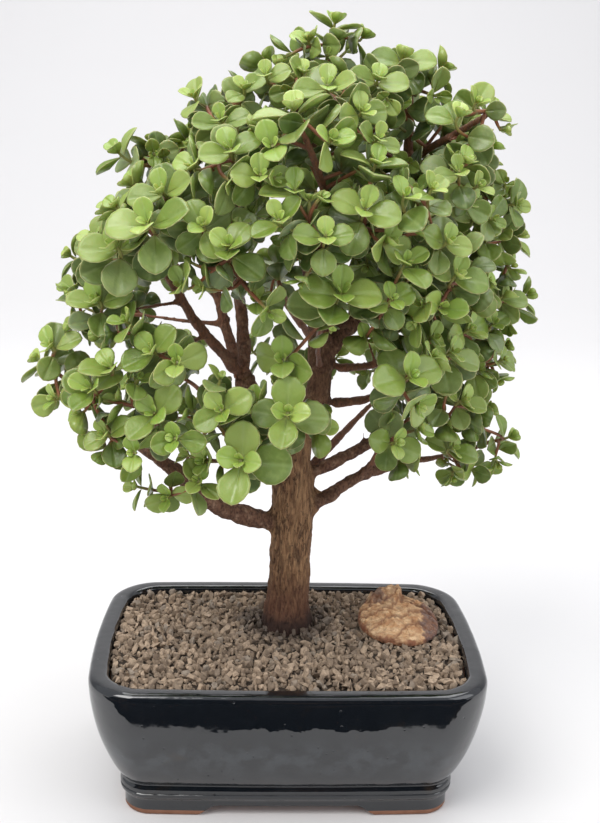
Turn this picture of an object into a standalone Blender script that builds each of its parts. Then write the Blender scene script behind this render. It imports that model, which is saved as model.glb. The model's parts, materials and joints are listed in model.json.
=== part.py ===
"""Elephant bush bonsai growing in a glazed rectangular pot.

Metres, +Z up, front towards -Y. The origin is on the floor, under the foot of the trunk.
The tables of the trunk and the branches are in millimetres from that same point.
"""
from math import cos, pi, radians, sin

import bmesh
import bpy
from mathutils import Vector, noise
from mathutils.bvhtree import BVHTree

MM = 0.001
WELD = 0.0001                     # points closer than this are one
GAP = 0.0003                      # kept between pieces that touch
SLOPED_GAP = 1.5 * GAP            # the same, taken level at a leaning or many-sided wall

# Pot: outer size over the rim, and where its middle lies from the trunk's foot.
POT_WIDTH = 0.203
POT_DEPTH = 0.142
POT_HEIGHT = 0.075
POT_MIDDLE = Vector((0.0, -0.018, 0.0))
POT_CORNER = 0.024                # outer corner radius at the rim
CORNER_TIGHTENS = 0.75            # loss of corner radius for each metre of inset
CORNER_LEAST = 0.010
CORNER_STEPS = 5                  # edges in each rounded corner
SIDE_BOW = (0.0045, 0.0020)       # how far the short and the long sides swell between corners
SIDE_STEPS = (4, 4)               # edges along each long and each short side
FLOOR_UNDER = 0.008               # underside of the pot's floor
FLOOR_TOP = 0.0155
# Outer face from the foot to the rim: (height, inset from the rim's outer outline).
OUTER_PROFILE = (
    (0.0, 0.0172), (0.0015, 0.0164), (0.0085, 0.0160), (0.0098, 0.0138), (0.0165, 0.0134),
    (0.0178, 0.0146), (0.0240, 0.0114), (0.0330, 0.0076), (0.0440, 0.0042), (0.0550, 0.0017),
    (0.0650, 0.0003), (0.0710, 0.0), (0.0740, 0.0006), (POT_HEIGHT, 0.0020),
)
# Inner face from the rim down to the floor.
INNER_PROFILE = (
    (POT_HEIGHT, 0.0086), (0.0740, 0.0100), (0.0650, 0.0105), (0.0440, 0.0128),
    (0.0250, 0.0190), (FLOOR_TOP, 0.0260),
)
FOOT_WALL = 0.0095                # thickness of the foot ring
FOOT_SLOPE = 0.001                # how much thicker it is at its top
ARCH_HEIGHT = 0.0062              # arches that leave a foot at each corner
FRONT_ARCH = (0.046, 0.037)       # half width at the floor and at the top of the arch
SIDE_ARCH = (0.028, 0.020)
DRAIN_X = 0.048
DRAIN_RADIUS = 0.0055
DRAIN_SIDES = 20
CUT_PAST = 0.004                  # how far a cutter stands past the face that it cuts
SCREEN_SIDE = 0.020
SCREEN_THICKNESS = 0.0008
SCREEN_HOLES = 2                  # holes along each side of a drain screen
SCREEN_MARGIN = 0.5               # width of its two plain edges together, in pitches
SCREEN_HOLE = 0.0060

# Growing mix, gravel dressing and the accent stone on it.
SOIL_TOP = 0.0650
GRAVEL_EDGE = 0.0705
GRAVEL_TOP = 0.0715
GRAVEL_SHOULDER = 0.005
STONE_MIDDLE = (0.0605, -0.0095)
STONE_HALF = (0.0215, 0.0185, 0.0088)
STONE_SLOPE = 0.38                # the back of the stone stands higher than its front
STONE_ROUGHNESS = 0.10            # depth of its lumps to its size
STONE_LUMPS = 1.7                 # lumps across it
STONE_GRAIN = Vector((3.1, 0.4, 7.7))
STONE_SUNK = 0.42                 # share of its half height cut flat underneath

# Wood. The trunk's points and radii are in millimetres.
TRUNK = (
    (0, 0, 45, 16.0), (0, 0, 57, 15.0), (0, 0, 67, 13.4), (0, 0, 75, 12.2), (0.5, 0, 87, 10.9),
    (1, 0, 110, 10.4), (2, 0, 135, 10.2), (1, 0, 155, 10.2), (0, 0, 170, 9.6),
    (4, 1, 179, 8.0), (9, 3, 188, 6.6), (14, 4, 200, 5.8), (15, 5, 214, 5.5),
    (14, 8, 226, 5.0), (12, 10, 242, 3.9), (9, 10, 261, 3.3), (7, 8, 282, 2.8),
    (6, 5, 302, 2.4), (7, 2, 321, 2.1), (8, 0, 340, 1.8), (11, 0, 355, 1.5),
)

# Every branch: name, parent, radius at its start and end, its points, and the tips of the
# leafy shoots that its end carries. The first point is moved onto the parent's own line.
# A tip is x, y, z, the turn of its leaf pairs in degrees and the length of its largest
# leaves; a sixth value of -1 makes the shoot hang.
BRANCHES = (
    ("left_fork", "trunk", 7.0, 4.6,
     ((-2, 0, 161), (-9, -3, 173), (-17, -4, 187), (-22, -5, 200), (-25, -5, 213)), ()),
    ("left_low_end", "trunk", 4.8, 1.4,
     ((-1, 0, 127), (-14, -4, 134), (-25, -10, 139), (-34, -16, 144), (-41, -21, 150),
      (-49, -25, 159),
      (-57, -30, 168), (-67, -34, 177), (-79, -36, 186), (-90, -38, 196), (-98, -38, 205),
      (-106, -36, 212)),
     ((-125, -30, 225, 20, 13), (-114, -52, 211, 150, 12), (-116, -44, 235, 0, 15))),
    ("left_low_outer", "left_low_end", 1.6, 1.2, ((-95, -38, 202), (-95, -51, 209)),
     ((-95, -72, 220, 60, 17), (-85, -66, 230, 30, 18), (-106, -62, 203, 90, 14))),
    ("left_low_hang", "left_low_end", 1.7, 1.2, ((-80, -36, 187), (-86, -52, 189)),
     ((-91, -70, 197, 20, 13), (-96, -60, 181, 0, 16, -1), (-75, -74, 189, 0, 16))),
    ("left_low_middle", "left_low_end", 1.8, 1.3, ((-71, -35, 181), (-70, -48, 193)),
     ((-65, -71, 210, 45, 16), (-55, -78, 200, 0, 14), (-82, -60, 213, 90, 14))),
    ("left_low_under", "left_low_end", 1.9, 1.3, ((-57, -30, 168), (-60, -42, 168)),
     ((-60, -56, 161, 0, 14), (-77, -52, 165, 90, 13), (-44, -66, 171, 150, 14))),
    ("left_low_back", "left_low_end", 2.2, 1.4, ((-49, -25, 159), (-52, -5, 165), (-60, 10, 173)),
     ((-70, 24, 190, 0, 14), (-50, 28, 183, 45, 14), (-84, 4, 205, 90, 14))),
    ("front_low", "left_fork", 2.4, 1.5, ((-9, -3, 173), (-14, -22, 177), (-20, -44, 185)),
     ((-25, -79, 190, 80, 20), (-42, -64, 185, 0, 16), (-38, -72, 207, 0, 15))),
    ("front_middle", "trunk", 2.4, 1.5, ((0, 0, 170), (-2, -24, 183), (-4, -45, 195)),
     ((-4, -80, 213, 85, 17), (-18, -62, 213, 0, 14), (12, -62, 201, 90, 13))),
    ("front_upper", "trunk", 2.2, 1.5, ((15, 5, 214), (12, -22, 229), (11, -47, 243)),
     ((18, -84, 269, 5, 20), (-6, -66, 235, 0, 18), (15, -72, 249, 90, 15))),
    ("left_front", "left_fork", 2.2, 1.4, ((-22, -5, 201), (-27, -24, 208), (-30, -45, 215)),
     ((-34, -80, 225, 30, 15), (-46, -64, 197, 0, 14), (-47, -66, 219, 30, 15))),
    ("left_upper", "left_fork", 3.0, 1.7,
     ((-24, -5, 208), (-33, -9, 222), (-43, -12, 234), (-51, -15, 245), (-56, -19, 255), (-64, -22, 269),
      (-70, -25, 280)),
     ((-110, -20, 275, 20, 11), (-95, -44, 286, 60, 13), (-82, -64, 285, 0, 18))),
    ("left_middle", "left_upper", 1.9, 1.3, ((-44, -12, 235), (-54, -27, 233), (-60, -40, 234)),
     ((-66, -70, 239, 30, 16), (-78, -64, 251, 90, 13), (-54, -76, 235, 0, 15))),
    ("left_middle_end", "left_upper", 1.8, 1.2, ((-55, -18, 253), (-68, -26, 252), (-80, -35, 251)),
     ((-106, -38, 243, 30, 12), (-92, -54, 259, 0, 16), (-107, -40, 261, 90, 12, -1))),
    ("left_upper_front", "left_upper", 1.9, 1.3, ((-64, -22, 269), (-65, -36, 277), (-66, -49, 285)),
     ((-66, -80, 297, 0, 20), (-82, -64, 303, 45, 11), (-86, -40, 301, 90, 13))),
    ("left_high", "left_fork", 3.0, 1.6,
     ((-24, -5, 207), (-30, 8, 220), (-35, 19, 233), (-39, 27, 246), (-45, 30, 265), (-50, 29, 286),
      (-54, 22, 308)),
     ((-86, 0, 321, 15, 13), (-70, 10, 327, 0, 11), (-56, 30, 330, 45, 13))),
    ("left_high_front", "left_high", 1.9, 1.3, ((-50, 29, 286), (-54, 0, 296), (-56, -30, 305)),
     ((-61, -68, 310, 0, 16), (-42, -84, 297, 135, 14), (-77, -44, 311, 0, 14))),
    ("upper_left", "left_fork", 3.2, 1.5,
     ((-24, -5, 210), (-25, 1, 225), (-26, 6, 239), (-28, 11, 252), (-31, 15, 271), (-33, 18, 291),
      (-31, 15, 310), (-27, 10, 328), (-25, 5, 341)),
     ((-50, -18, 351, 60, 12), (-26, -34, 355, 45, 12), (-36, -46, 341, 0, 13))),
    ("upper_left_front", "upper_left", 1.9, 1.3, ((-31, 15, 308), (-30, -18, 314), (-30, -50, 319)),
     ((-31, -76, 329, 20, 15), (-18, -84, 319, 0, 14), (-47, -70, 321, 45, 16))),
    ("middle_left_front", "upper_left", 2.0, 1.3, ((-27, 9, 247), (-31, -22, 261), (-34, -50, 273)),
     ((-31, -88, 289, 60, 15), (-19, -72, 263, 0, 14), (-52, -74, 269, 0, 15))),
    ("right_low_end", "trunk", 5.2, 1.3,
     ((1, 0, 137), (19, 3, 144), (29, 6, 150), (39, 10, 155), (50, 14, 158), (64, 18, 160), (82, 22, 162),
      (97, 24, 165), (110, 25, 170)),
     ((121, 20, 175, 0, 14), (113, 10, 163, 90, 13, -1), (101, 12, 186, 45, 13))),
    ("right_low_inner", "right_low_end", 2.8, 1.8, ((39, 10, 155), (45, 6, 164), (50, 3, 175), (54, -2, 184)),
     ((51, -36, 187, 0, 15), (64, -28, 192, 90, 14), (62, -20, 171, 0, 13))),
    ("right_low_outer", "right_low_end", 1.6, 1.2, ((86, 22, 162), (93, 12, 161)),
     ((103, 2, 157, 90, 15, -1), (84, -10, 177, 0, 16), (86, -8, 157, 90, 13, -1))),
    ("right_low_upper", "trunk", 4.4, 2.0,
     ((1, 0, 153), (14, 3, 159), (26, 8, 164), (40, 14, 170), (53, 20, 175), (65, 22, 180), (75, 24, 189),
      (86, 26, 200), (97, 28, 213)),
     ((115, 20, 225, 0, 12), (112, 18, 208, 90, 14, -1), (97, -2, 217, 45, 14), (77, -34, 233, 0, 16))),
    ("right_low_stub", "right_low_upper", 2.2, 1.8, ((40, 14, 170), (40, 14, 179)), ()),
    ("right_low_middle", "right_low_upper", 1.8, 1.2, ((82, 25, 196), (90, 14, 195)),
     ((87, -18, 205, 0, 14), (104, 4, 195, 0, 14), (80, -10, 189, 90, 15))),
    ("right_mid_low", "trunk", 2.8, 1.9, ((14, 4, 197), (28, 8, 196), (40, 12, 197), (52, 16, 200)), ()),
    ("front_right", "right_mid_low", 2.2, 1.5, ((50, 15, 200), (52, -14, 205), (52, -38, 213)),
     ((52, -71, 229, 25, 18), (57, -62, 213, 150, 17), (64, -55, 235, 90, 15))),
    ("right_inner", "trunk", 2.6, 1.4,
     ((15, 5, 215), (29, 9, 215), (40, 12, 215), (50, 14, 217), (62, 18, 222), (72, 16, 230), (80, 6, 236)),
     ((88, -17, 241, 60, 15), (66, -40, 241, 0, 15), (102, 10, 231, 90, 13))),
    ("right_twig_front", "right_inner", 1.4, 1.1, ((45, 13, 216), (40, 8, 229), (36, 4, 241)),
     ()),
    ("right_high", "trunk", 4.6, 1.5,
     ((15, 7, 219), (24, 11, 230), (33, 15, 240), (41, 19, 251), (47, 21, 266), (52, 22, 283), (55, 20, 301),
      (57, 16, 321), (57, 11, 341), (56, 6, 359)),
     ((50, -5, 371, 0, 16), (71, 2, 367, 20, 13), (36, -30, 361, 0, 14))),
    ("middle_right_front", "right_high", 2.0, 1.3, ((40, 19, 250), (42, -14, 253), (42, -44, 257)),
     ((41, -80, 266, 30, 12), (47, -78, 282, 120, 18), (32, -64, 245, 45, 13), (55, -24, 243, 80, 12))),
    ("right_middle_outer", "right_high", 2.2, 1.2,
     ((38, 18, 247), (60, 24, 248), (80, 28, 248), (97, 29, 249), (110, 29, 251)),
     ((126, 25, 252, 0, 12), (108, 0, 256, 30, 14), (116, 18, 241, 60, 13))),
    ("right_middle_end", "right_high", 2.3, 1.2,
     ((45, 20, 261), (64, 24, 267), (84, 24, 272), (97, 22, 276), (106, 20, 281)),
     ((117, 15, 285, 0, 13), (112, 6, 270, 60, 14), (97, -5, 286, 90, 14))),
    ("right_middle_front", "right_middle_end", 1.8, 1.3, ((72, 24, 269), (74, -6, 267), (75, -34, 265)),
     ((72, -64, 275, 0, 15), (66, -60, 259, 90, 20), (92, -36, 267, 0, 15))),
    ("centre_right", "right_high", 2.0, 1.3, ((47, 21, 267), (38, -14, 281), (32, -48, 293)),
     ((27, -88, 306, 160, 15), (38, -80, 291, 0, 16), (32, -78, 325, 0, 15))),
    ("right_upper_front", "right_high", 1.9, 1.3, ((53, 21, 289), (60, -10, 289), (64, -40, 289)),
     ((66, -71, 291, 0, 13), (57, -76, 314, 45, 12), (44, -84, 311, 30, 15))),
    ("right_upper_end", "right_high", 2.2, 1.2,
     ((51, 22, 280), (66, 20, 285), (81, 17, 291), (92, 13, 296), (100, 10, 301)),
     ((111, 4, 308, 30, 12), (88, -16, 296, 0, 14), (88, -8, 313, 90, 14))),
    ("high_right_low", "right_upper_end", 1.7, 1.2, ((72, 19, 288), (76, 6, 299), (78, -8, 309)),
     ((73, -40, 325, 90, 14), (78, -44, 307, 0, 14), (95, 0, 323, 60, 13))),
    ("high_right_end", "right_high", 2.0, 1.3,
     ((57, 15, 323), (65, 6, 328), (74, -2, 334), (83, -8, 340), (92, -11, 346)),
     ((98, -13, 352, 0, 12), (86, -32, 351, 60, 15), (104, -16, 343, 0, 12))),
    ("high_right_front", "high_right_end", 1.5, 1.1, ((74, -2, 334), (79, -16, 331)),
     ((92, -22, 331, 30, 14), (76, -46, 325, 0, 14), (72, -45, 345, 0, 15))),
    ("centre_high", "trunk", 3.0, 1.3,
     ((15, 7, 221), (18, 2, 240), (19, -3, 261), (17, -12, 280), (14, -32, 299), (11, -54, 311),
      (6, -66, 324), (1, -74, 335)),
     ((-4, -76, 346, 0, 17), (-13, -83, 331, 10, 18), (12, -82, 334, 90, 15))),
    ("centre_front", "centre_high", 1.9, 1.3, ((18, -7, 271), (13, -36, 277), (10, -64, 283)),
     ((10, -95, 295, 0, 13), (-10, -93, 301, 20, 14), (-3, -86, 313, 0, 15))),
    ("top_centre", "trunk", 1.5, 1.3, ((11, 0, 353), (13, 0, 365)),
     ((19, 1, 384, 0, 12), (4, -5, 375, 0, 12), (31, 5, 379, 20, 12))),
    ("top_left", "trunk", 1.6, 1.1, ((7, 2, 323), (0, -4, 337), (-4, -9, 349)),
     ((-10, -11, 366, 0, 11), (-16, -35, 361, 0, 13), (1, -35, 363, 0, 12))),
    ("top_front", "trunk", 1.6, 1.2, ((7, 1, 327), (13, -17, 339), (19, -34, 350)),
     ((11, -56, 357, 0, 14), (26, -66, 346, 30, 14), (33, -70, 335, 0, 12))),
    ("back_low_left", "trunk", 3.0, 1.4, ((1, 0, 145), (-16, 18, 163), (-34, 36, 179), (-52, 50, 193)),
     ((-78, 62, 205, 30, 15), (-58, 80, 211, 0, 15), (-66, 50, 219, 60, 14))),
    ("back_low_right", "trunk", 3.0, 1.4, ((1, 0, 149), (18, 20, 163), (36, 38, 177), (52, 52, 189)),
     ((80, 62, 201, 30, 15), (60, 82, 207, 0, 15), (68, 52, 219, 60, 14))),
    ("back_low", "trunk", 2.8, 1.4, ((0, 0, 163), (2, 26, 173), (3, 50, 181), (4, 68, 189)),
     ((4, 92, 201, 0, 16), (-22, 84, 209, 45, 14), (30, 86, 205, 20, 14))),
    ("back_middle", "trunk", 2.6, 1.4, ((14, 8, 225), (6, 32, 233), (-2, 54, 241), (-6, 72, 249)),
     ((-6, 96, 261, 0, 16), (-30, 88, 267, 45, 15), (18, 92, 269, 20, 15), (-14, 84, 233, 0, 14))),
    ("back_left", "left_high", 2.2, 1.4, ((-40, 28, 249), (-54, 42, 257), (-68, 54, 265)),
     ((-92, 62, 277, 30, 15), (-66, 78, 289, 0, 14), (-76, 74, 253, 60, 15))),
    ("back_left_outer", "left_high", 2.0, 1.3, ((-36, 20, 235), (-58, 28, 235), (-80, 32, 237)),
     ((-112, 26, 243, 0, 14), (-96, 46, 227, 30, 14), (-102, 34, 263, 60, 14))),
    ("back_right", "right_high", 2.2, 1.4, ((47, 21, 267), (56, 40, 273), (64, 56, 279)),
     ((88, 60, 291, 30, 15), (60, 80, 295, 0, 15), (80, 72, 263, 60, 15))),
    ("back_right_outer", "right_inner", 1.8, 1.3, ((62, 18, 222), (76, 32, 227), (88, 42, 233)),
     ((106, 52, 241, 0, 14), (86, 70, 237, 30, 14), (112, 44, 219, 60, 13))),
    ("back_high_left", "upper_left", 2.0, 1.3, ((-32, 17, 301), (-32, 34, 311), (-32, 52, 321)),
     ((-34, 78, 327, 0, 15), (-62, 60, 325, 30, 14), (-30, 56, 349, 60, 13))),
    ("back_high_right", "right_high", 2.0, 1.3, ((57, 17, 317), (46, 34, 327), (38, 48, 337)),
     ((44, 72, 345, 0, 14), (66, 52, 351, 30, 14), (24, 44, 361, 60, 13))),
    ("back_top", "trunk", 1.8, 1.3, ((6, 5, 302), (6, 26, 311), (6, 46, 319)),
     ((4, 84, 311, 0, 15), (6, 74, 335, 45, 14), (-8, 46, 347, 20, 13))),
)

HOLE_CLEAR = 0.016                # how far the trunk's cutter stands over the gravel
TRUNK_ROUNDNESS = 3               # bevel resolution of the trunk
ROUNDER_FROM = (2.6, 4.0)         # starting radius past which a branch gets two more sides

# Shoots. Tips point away from the crown's core, and up to the light or, if they hang, down.
CROWN_CORE = Vector((0.0, 0.008, 0.240))
OUTWARD_RISE = 0.5                # how much of its height a tip's way out keeps
LIFT = 0.75
DROOP = -0.9
STEM_TIP = 0.0035                 # length of the last stretch, which bears the leaves
STEM_TIP_SHARE = 0.3              # its most, as a share of a short stem
STEM_BEND = 0.45                  # where along its curve a stem has its middle ring
STEM_PULL = (0.35, 0.30)          # how far a curved stem keeps its first and its last way
STEM_BASE = 0.80                  # a shoot's radius at its base to its branch's end
STEM_THIN = 0.75                  # the same stem's radius at its tip to its base
SIDE_STEM_THIN = 0.60
SIDE_STEMS_FROM = 0.35            # where on the stem the first side stem grows
SIDE_STEMS_APART = 0.25
LEAF_THICKNESS = 0.0017
LEAF_WIDEST = 0.58                # share of its length where a leaf is widest
LEAF_HALF_WIDTH = 0.40
LEAF_RISE = (14, 40)              # degrees that the lower and the upper pair rise
UPPER_PAIR = 0.80                 # length of the upper pair to the lower
LEAF_FOOT_DEPTH = 0.6             # half height of a leaf's foot to the stretch it grows on


# ---------------------------------------------------------------- shared tools
def empty_scene():
    for old in list(bpy.data.objects):
        bpy.data.objects.remove(old, do_unlink=True)


def new_collection(name):
    made = bpy.data.collections.new(name)
    bpy.context.scene.collection.children.link(made)
    return made


empty_scene()
PARTS = new_collection("elephant_bush_bonsai")
CUTTERS = new_collection("cutters")


def finish(name, colour, roughness, metallic=0.0):
    material = bpy.data.materials.new(name)
    material.use_nodes = True
    shader = material.node_tree.nodes["Principled BSDF"]
    shader.inputs["Base Color"].default_value = (*colour, 1.0)
    shader.inputs["Roughness"].default_value = roughness
    shader.inputs["Metallic"].default_value = metallic
    material.diffuse_color = (*colour, 1.0)
    return material


def add_object(name, mesh, collection=PARTS, material=None):
    made = bpy.data.objects.new(name, mesh)
    collection.objects.link(made)
    if material is not None:
        mesh.materials.clear()
        mesh.materials.append(material)
    return made


def mesh_from(name, bm):
    bmesh.ops.recalc_face_normals(bm, faces=bm.faces)
    mesh = bpy.data.meshes.new(name)
    bm.to_mesh(mesh)
    bm.free()
    return mesh


def apply_modifiers(target):
    """Replace the object's mesh by what its modifiers make of it."""
    graph = bpy.context.evaluated_depsgraph_get()
    result = bpy.data.meshes.new_from_object(target.evaluated_get(graph))
    target.modifiers.clear()
    target.data = result


def combine(target, other, operation):
    """Join the other solid to the target or cut it out of it, and drop it."""
    step = target.modifiers.new(operation.lower(), "BOOLEAN")
    step.operation = operation
    step.solver = "EXACT"
    step.object = other
    bpy.context.view_layer.update()
    apply_modifiers(target)
    bpy.data.objects.remove(other, do_unlink=True)


def as_cutter(name, mesh):
    made = add_object(name, mesh, CUTTERS)
    made.hide_render = True
    made.display_type = "WIRE"
    return made


def smooth(target, angle=35):
    target.data.shade_smooth()
    target.data.set_sharp_from_angle(angle=radians(angle))


# ------------------------------------------------------------------------ pot
def rim_outline(inset):
    """Rounded rectangle of the pot with swelling sides, drawn in by inset, about its middle."""
    half_x = POT_WIDTH / 2 - inset
    half_y = POT_DEPTH / 2 - inset
    radius = max(POT_CORNER - CORNER_TIGHTENS * inset, CORNER_LEAST)
    points = []
    for corner, (sx, sy) in enumerate(((1, 1), (-1, 1), (-1, -1), (1, -1))):
        for step in range(CORNER_STEPS + 1):
            angle = (corner + step / CORNER_STEPS) * pi / 2
            points.append(Vector((sx * (half_x - radius) + radius * cos(angle),
                                  sy * (half_y - radius) + radius * sin(angle))))
        start = points[-1]
        end = Vector((-start.x, start.y)) if corner % 2 == 0 else Vector((start.x, -start.y))
        steps = SIDE_STEPS[corner % 2]
        points += [start.lerp(end, step / steps) for step in range(1, steps)]
    return [bowed(point, half_x, half_y) for point in points]


def bowed(point, half_x, half_y):
    """The point moved inwards towards the corners, so that the sides swell between them."""
    x_share = point.x / half_x
    y_share = point.y / half_y
    in_x = SIDE_BOW[0] * y_share * y_share * abs(x_share) * x_share
    in_y = SIDE_BOW[1] * x_share * x_share * abs(y_share) * y_share
    return point.x - in_x, point.y - in_y


def loft(profile):
    """Closed skin over rounded rectangles, one for each (height, inset)."""
    bm = bmesh.new()
    rings = []
    for height, inset in profile:
        rings.append([bm.verts.new((x, y, height)) for x, y in rim_outline(inset)])
    for low, high in zip(rings, rings[1:]):
        count = len(low)
        for i in range(count):
            j = (i + 1) % count
            bm.faces.new((low[i], low[j], high[j], high[i]))
    bm.faces.new(rings[0][::-1])
    bm.faces.new(rings[-1])
    return bm


def arch_cutter(name, half_widths, reach, along_y):
    """A long wedge that cuts one pair of arches out of the foot ring."""
    low, high = half_widths
    section = ((-low, -CUT_PAST), (low, -CUT_PAST), (low, 0.0),
               (high, ARCH_HEIGHT), (-high, ARCH_HEIGHT), (-low, 0.0))
    bm = bmesh.new()
    verts = [bm.verts.new((x, -reach, z)) for x, z in section]
    face = bm.faces.new(verts)
    grown = bmesh.ops.extrude_face_region(bm, geom=[face])["geom"]
    moved = [item for item in grown if isinstance(item, bmesh.types.BMVert)]
    bmesh.ops.translate(bm, verts=moved, vec=(0, 2 * reach, 0))
    cutter = as_cutter(name, mesh_from(name, bm))
    cutter.location = POT_MIDDLE
    if not along_y:
        cutter.rotation_euler.z = pi / 2
    return cutter


def cylinder_cutter(name, radius, low, high, place):
    bm = bmesh.new()
    bmesh.ops.create_cone(bm, cap_ends=True, segments=DRAIN_SIDES, radius1=radius, radius2=radius,
                          depth=high - low)
    cutter = as_cutter(name, mesh_from(name, bm))
    cutter.location = Vector(place) + Vector((0, 0, (low + high) / 2))
    return cutter


def box_cutter(name, size, middle):
    bm = bmesh.new()
    bmesh.ops.create_cube(bm, size=1.0)
    bmesh.ops.scale(bm, verts=bm.verts, vec=size)
    cutter = as_cutter(name, mesh_from(name, bm))
    cutter.location = middle
    return cutter


def make_pot(material):
    foot_inner = OUTER_PROFILE[0][1] + FOOT_WALL
    underside = ((FLOOR_UNDER, foot_inner + FOOT_SLOPE), (0.0, foot_inner))
    bm = loft(underside + OUTER_PROFILE + INNER_PROFILE)
    pot = add_object("pot", mesh_from("pot", bm), material=material)
    pot.location = POT_MIDDLE
    combine(pot, arch_cutter("front_arch", FRONT_ARCH, POT_DEPTH, True), "DIFFERENCE")
    combine(pot, arch_cutter("side_arch", SIDE_ARCH, POT_WIDTH, False), "DIFFERENCE")
    for side in (-1, 1):
        place = POT_MIDDLE + Vector((side * DRAIN_X, 0, 0))
        hole = cylinder_cutter("drain_hole", DRAIN_RADIUS, FLOOR_UNDER - CUT_PAST, FLOOR_TOP + CUT_PAST,
                               place)
        combine(pot, hole, "DIFFERENCE")
    smooth(pot)
    return pot


def make_drain_screen(name, side, material):
    """Plastic mesh square that keeps the mix from washing out of a drain hole."""
    middle = POT_MIDDLE + Vector((side * DRAIN_X, 0, FLOOR_TOP + GAP + SCREEN_THICKNESS / 2))
    bm = bmesh.new()
    bmesh.ops.create_cube(bm, size=1.0)
    bmesh.ops.scale(bm, verts=bm.verts, vec=(SCREEN_SIDE, SCREEN_SIDE, SCREEN_THICKNESS))
    screen = add_object(name, mesh_from(name, bm), material=material)
    screen.location = middle
    pitch = SCREEN_SIDE / (SCREEN_HOLES + SCREEN_MARGIN)
    for row in range(SCREEN_HOLES):
        for column in range(SCREEN_HOLES):
            shift = Vector((column - (SCREEN_HOLES - 1) / 2, row - (SCREEN_HOLES - 1) / 2, 0)) * pitch
            hole = box_cutter("screen_hole", (SCREEN_HOLE, SCREEN_HOLE, CUT_PAST), middle + shift)
            combine(screen, hole, "DIFFERENCE")
    return screen


# ------------------------------------------------------- mix, gravel and stone
def inner_inset(height):
    """How far the pot's inner face stands in at a height."""
    for (high, inset_high), (low, inset_low) in zip(INNER_PROFILE, INNER_PROFILE[1:]):
        if low <= height <= high:
            share = (height - low) / (high - low)
            return inset_low + share * (inset_high - inset_low)
    return INNER_PROFILE[-1][1]


def make_soil(material, trunk_cutter):
    inside = [height for height, _ in INNER_PROFILE if FLOOR_TOP < height < SOIL_TOP]
    heights = [SOIL_TOP, *inside, FLOOR_TOP + GAP]
    bm = loft([(height, inner_inset(height) + SLOPED_GAP) for height in heights])
    soil = add_object("soil", mesh_from("soil", bm), material=material)
    soil.location = POT_MIDDLE
    for side in (-1, 1):
        middle = POT_MIDDLE + Vector((side * DRAIN_X, 0, FLOOR_TOP))
        pocket = SCREEN_SIDE + 2 * SLOPED_GAP
        depth = 2 * (SCREEN_THICKNESS + 2 * GAP)
        combine(soil, box_cutter("screen_pocket", (pocket, pocket, depth), middle), "DIFFERENCE")
    combine(soil, trunk_cutter, "DIFFERENCE")
    return soil


def make_gravel(material, trunk_cutter):
    wall = inner_inset(GRAVEL_EDGE)
    under = SOIL_TOP + GAP
    profile = ((under, inner_inset(under) + SLOPED_GAP), (GRAVEL_EDGE, wall + SLOPED_GAP),
               (GRAVEL_TOP, wall + GRAVEL_SHOULDER))
    gravel = add_object("gravel_dressing", mesh_from("gravel_dressing", loft(profile)), material=material)
    gravel.location = POT_MIDDLE
    combine(gravel, trunk_cutter, "DIFFERENCE")
    return gravel


def make_stone(material):
    """Flat weathered stone lying on the gravel."""
    bm = bmesh.new()
    bmesh.ops.create_icosphere(bm, subdivisions=3, radius=1.0)
    for vert in bm.verts:
        rough = 1.0 + STONE_ROUGHNESS * noise.noise(vert.co * STONE_LUMPS + STONE_GRAIN)
        place = vert.co * rough
        vert.co = place * Vector(STONE_HALF)
        vert.co.z += STONE_SLOPE * vert.co.y
    flat = -STONE_SUNK * STONE_HALF[2]
    cut = bmesh.ops.bisect_plane(bm, geom=bm.verts[:] + bm.edges[:] + bm.faces[:], plane_co=(0, 0, flat),
                                 plane_no=(0, 0, -1), clear_outer=True)["geom_cut"]
    edges = [item for item in cut if isinstance(item, bmesh.types.BMEdge)]
    bmesh.ops.holes_fill(bm, edges=edges)
    bmesh.ops.dissolve_degenerate(bm, dist=WELD, edges=bm.edges)
    stone = add_object("accent_stone", mesh_from("accent_stone", bm), material=material)
    stone.location = (STONE_MIDDLE[0], STONE_MIDDLE[1], GRAVEL_TOP + GAP - flat)
    smooth(stone, 50)
    return stone


# ----------------------------------------------------------------------- wood
def tube(name, points, radii, resolution):
    """Tapered round tube along metre points, as a closed mesh object."""
    curve = bpy.data.curves.new(name, "CURVE")
    curve.dimensions = "3D"
    curve.bevel_depth = 1.0
    curve.bevel_resolution = resolution
    curve.use_fill_caps = True
    spline = curve.splines.new("POLY")
    spline.points.add(len(points) - 1)
    for target, place, radius in zip(spline.points, points, radii):
        target.co = (*place, 1.0)
        target.radius = radius
    drawn = add_object(name + "_line", curve, CUTTERS)
    bpy.context.view_layer.update()
    graph = bpy.context.evaluated_depsgraph_get()
    mesh = bpy.data.meshes.new_from_object(drawn.evaluated_get(graph))
    bpy.data.objects.remove(drawn, do_unlink=True)
    bm = bmesh.new()
    bm.from_mesh(mesh)
    bmesh.ops.remove_doubles(bm, verts=bm.verts, dist=WELD / 10)
    bm.to_mesh(mesh)
    bm.free()
    return add_object(name, mesh, CUTTERS)


def nearest_on(line, place):
    """The point of a polyline that lies nearest to a place."""
    best = None
    for start, end in zip(line, line[1:]):
        along = end - start
        share = max(0.0, min(1.0, (place - start).dot(along) / along.length_squared))
        point = start + share * along
        if best is None or (point - place).length < (best - place).length:
            best = point
    return best


def branch_lines():
    """Each branch's line in metres, rooted on its parent's line."""
    lines = {"trunk": [Vector(entry[:3]) * MM for entry in TRUNK]}
    for name, parent, _, _, points, _ in BRANCHES:
        line = [Vector(point) * MM for point in points]
        line[0] = nearest_on(lines[parent], line[0])
        lines[name] = line
    return lines


def taper(start, end, line):
    """Radius at each point, going evenly with the distance along the line."""
    steps = [0.0]
    for low, high in zip(line, line[1:]):
        steps.append(steps[-1] + (high - low).length)
    return [(start + (end - start) * step / steps[-1]) * MM for step in steps]


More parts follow.
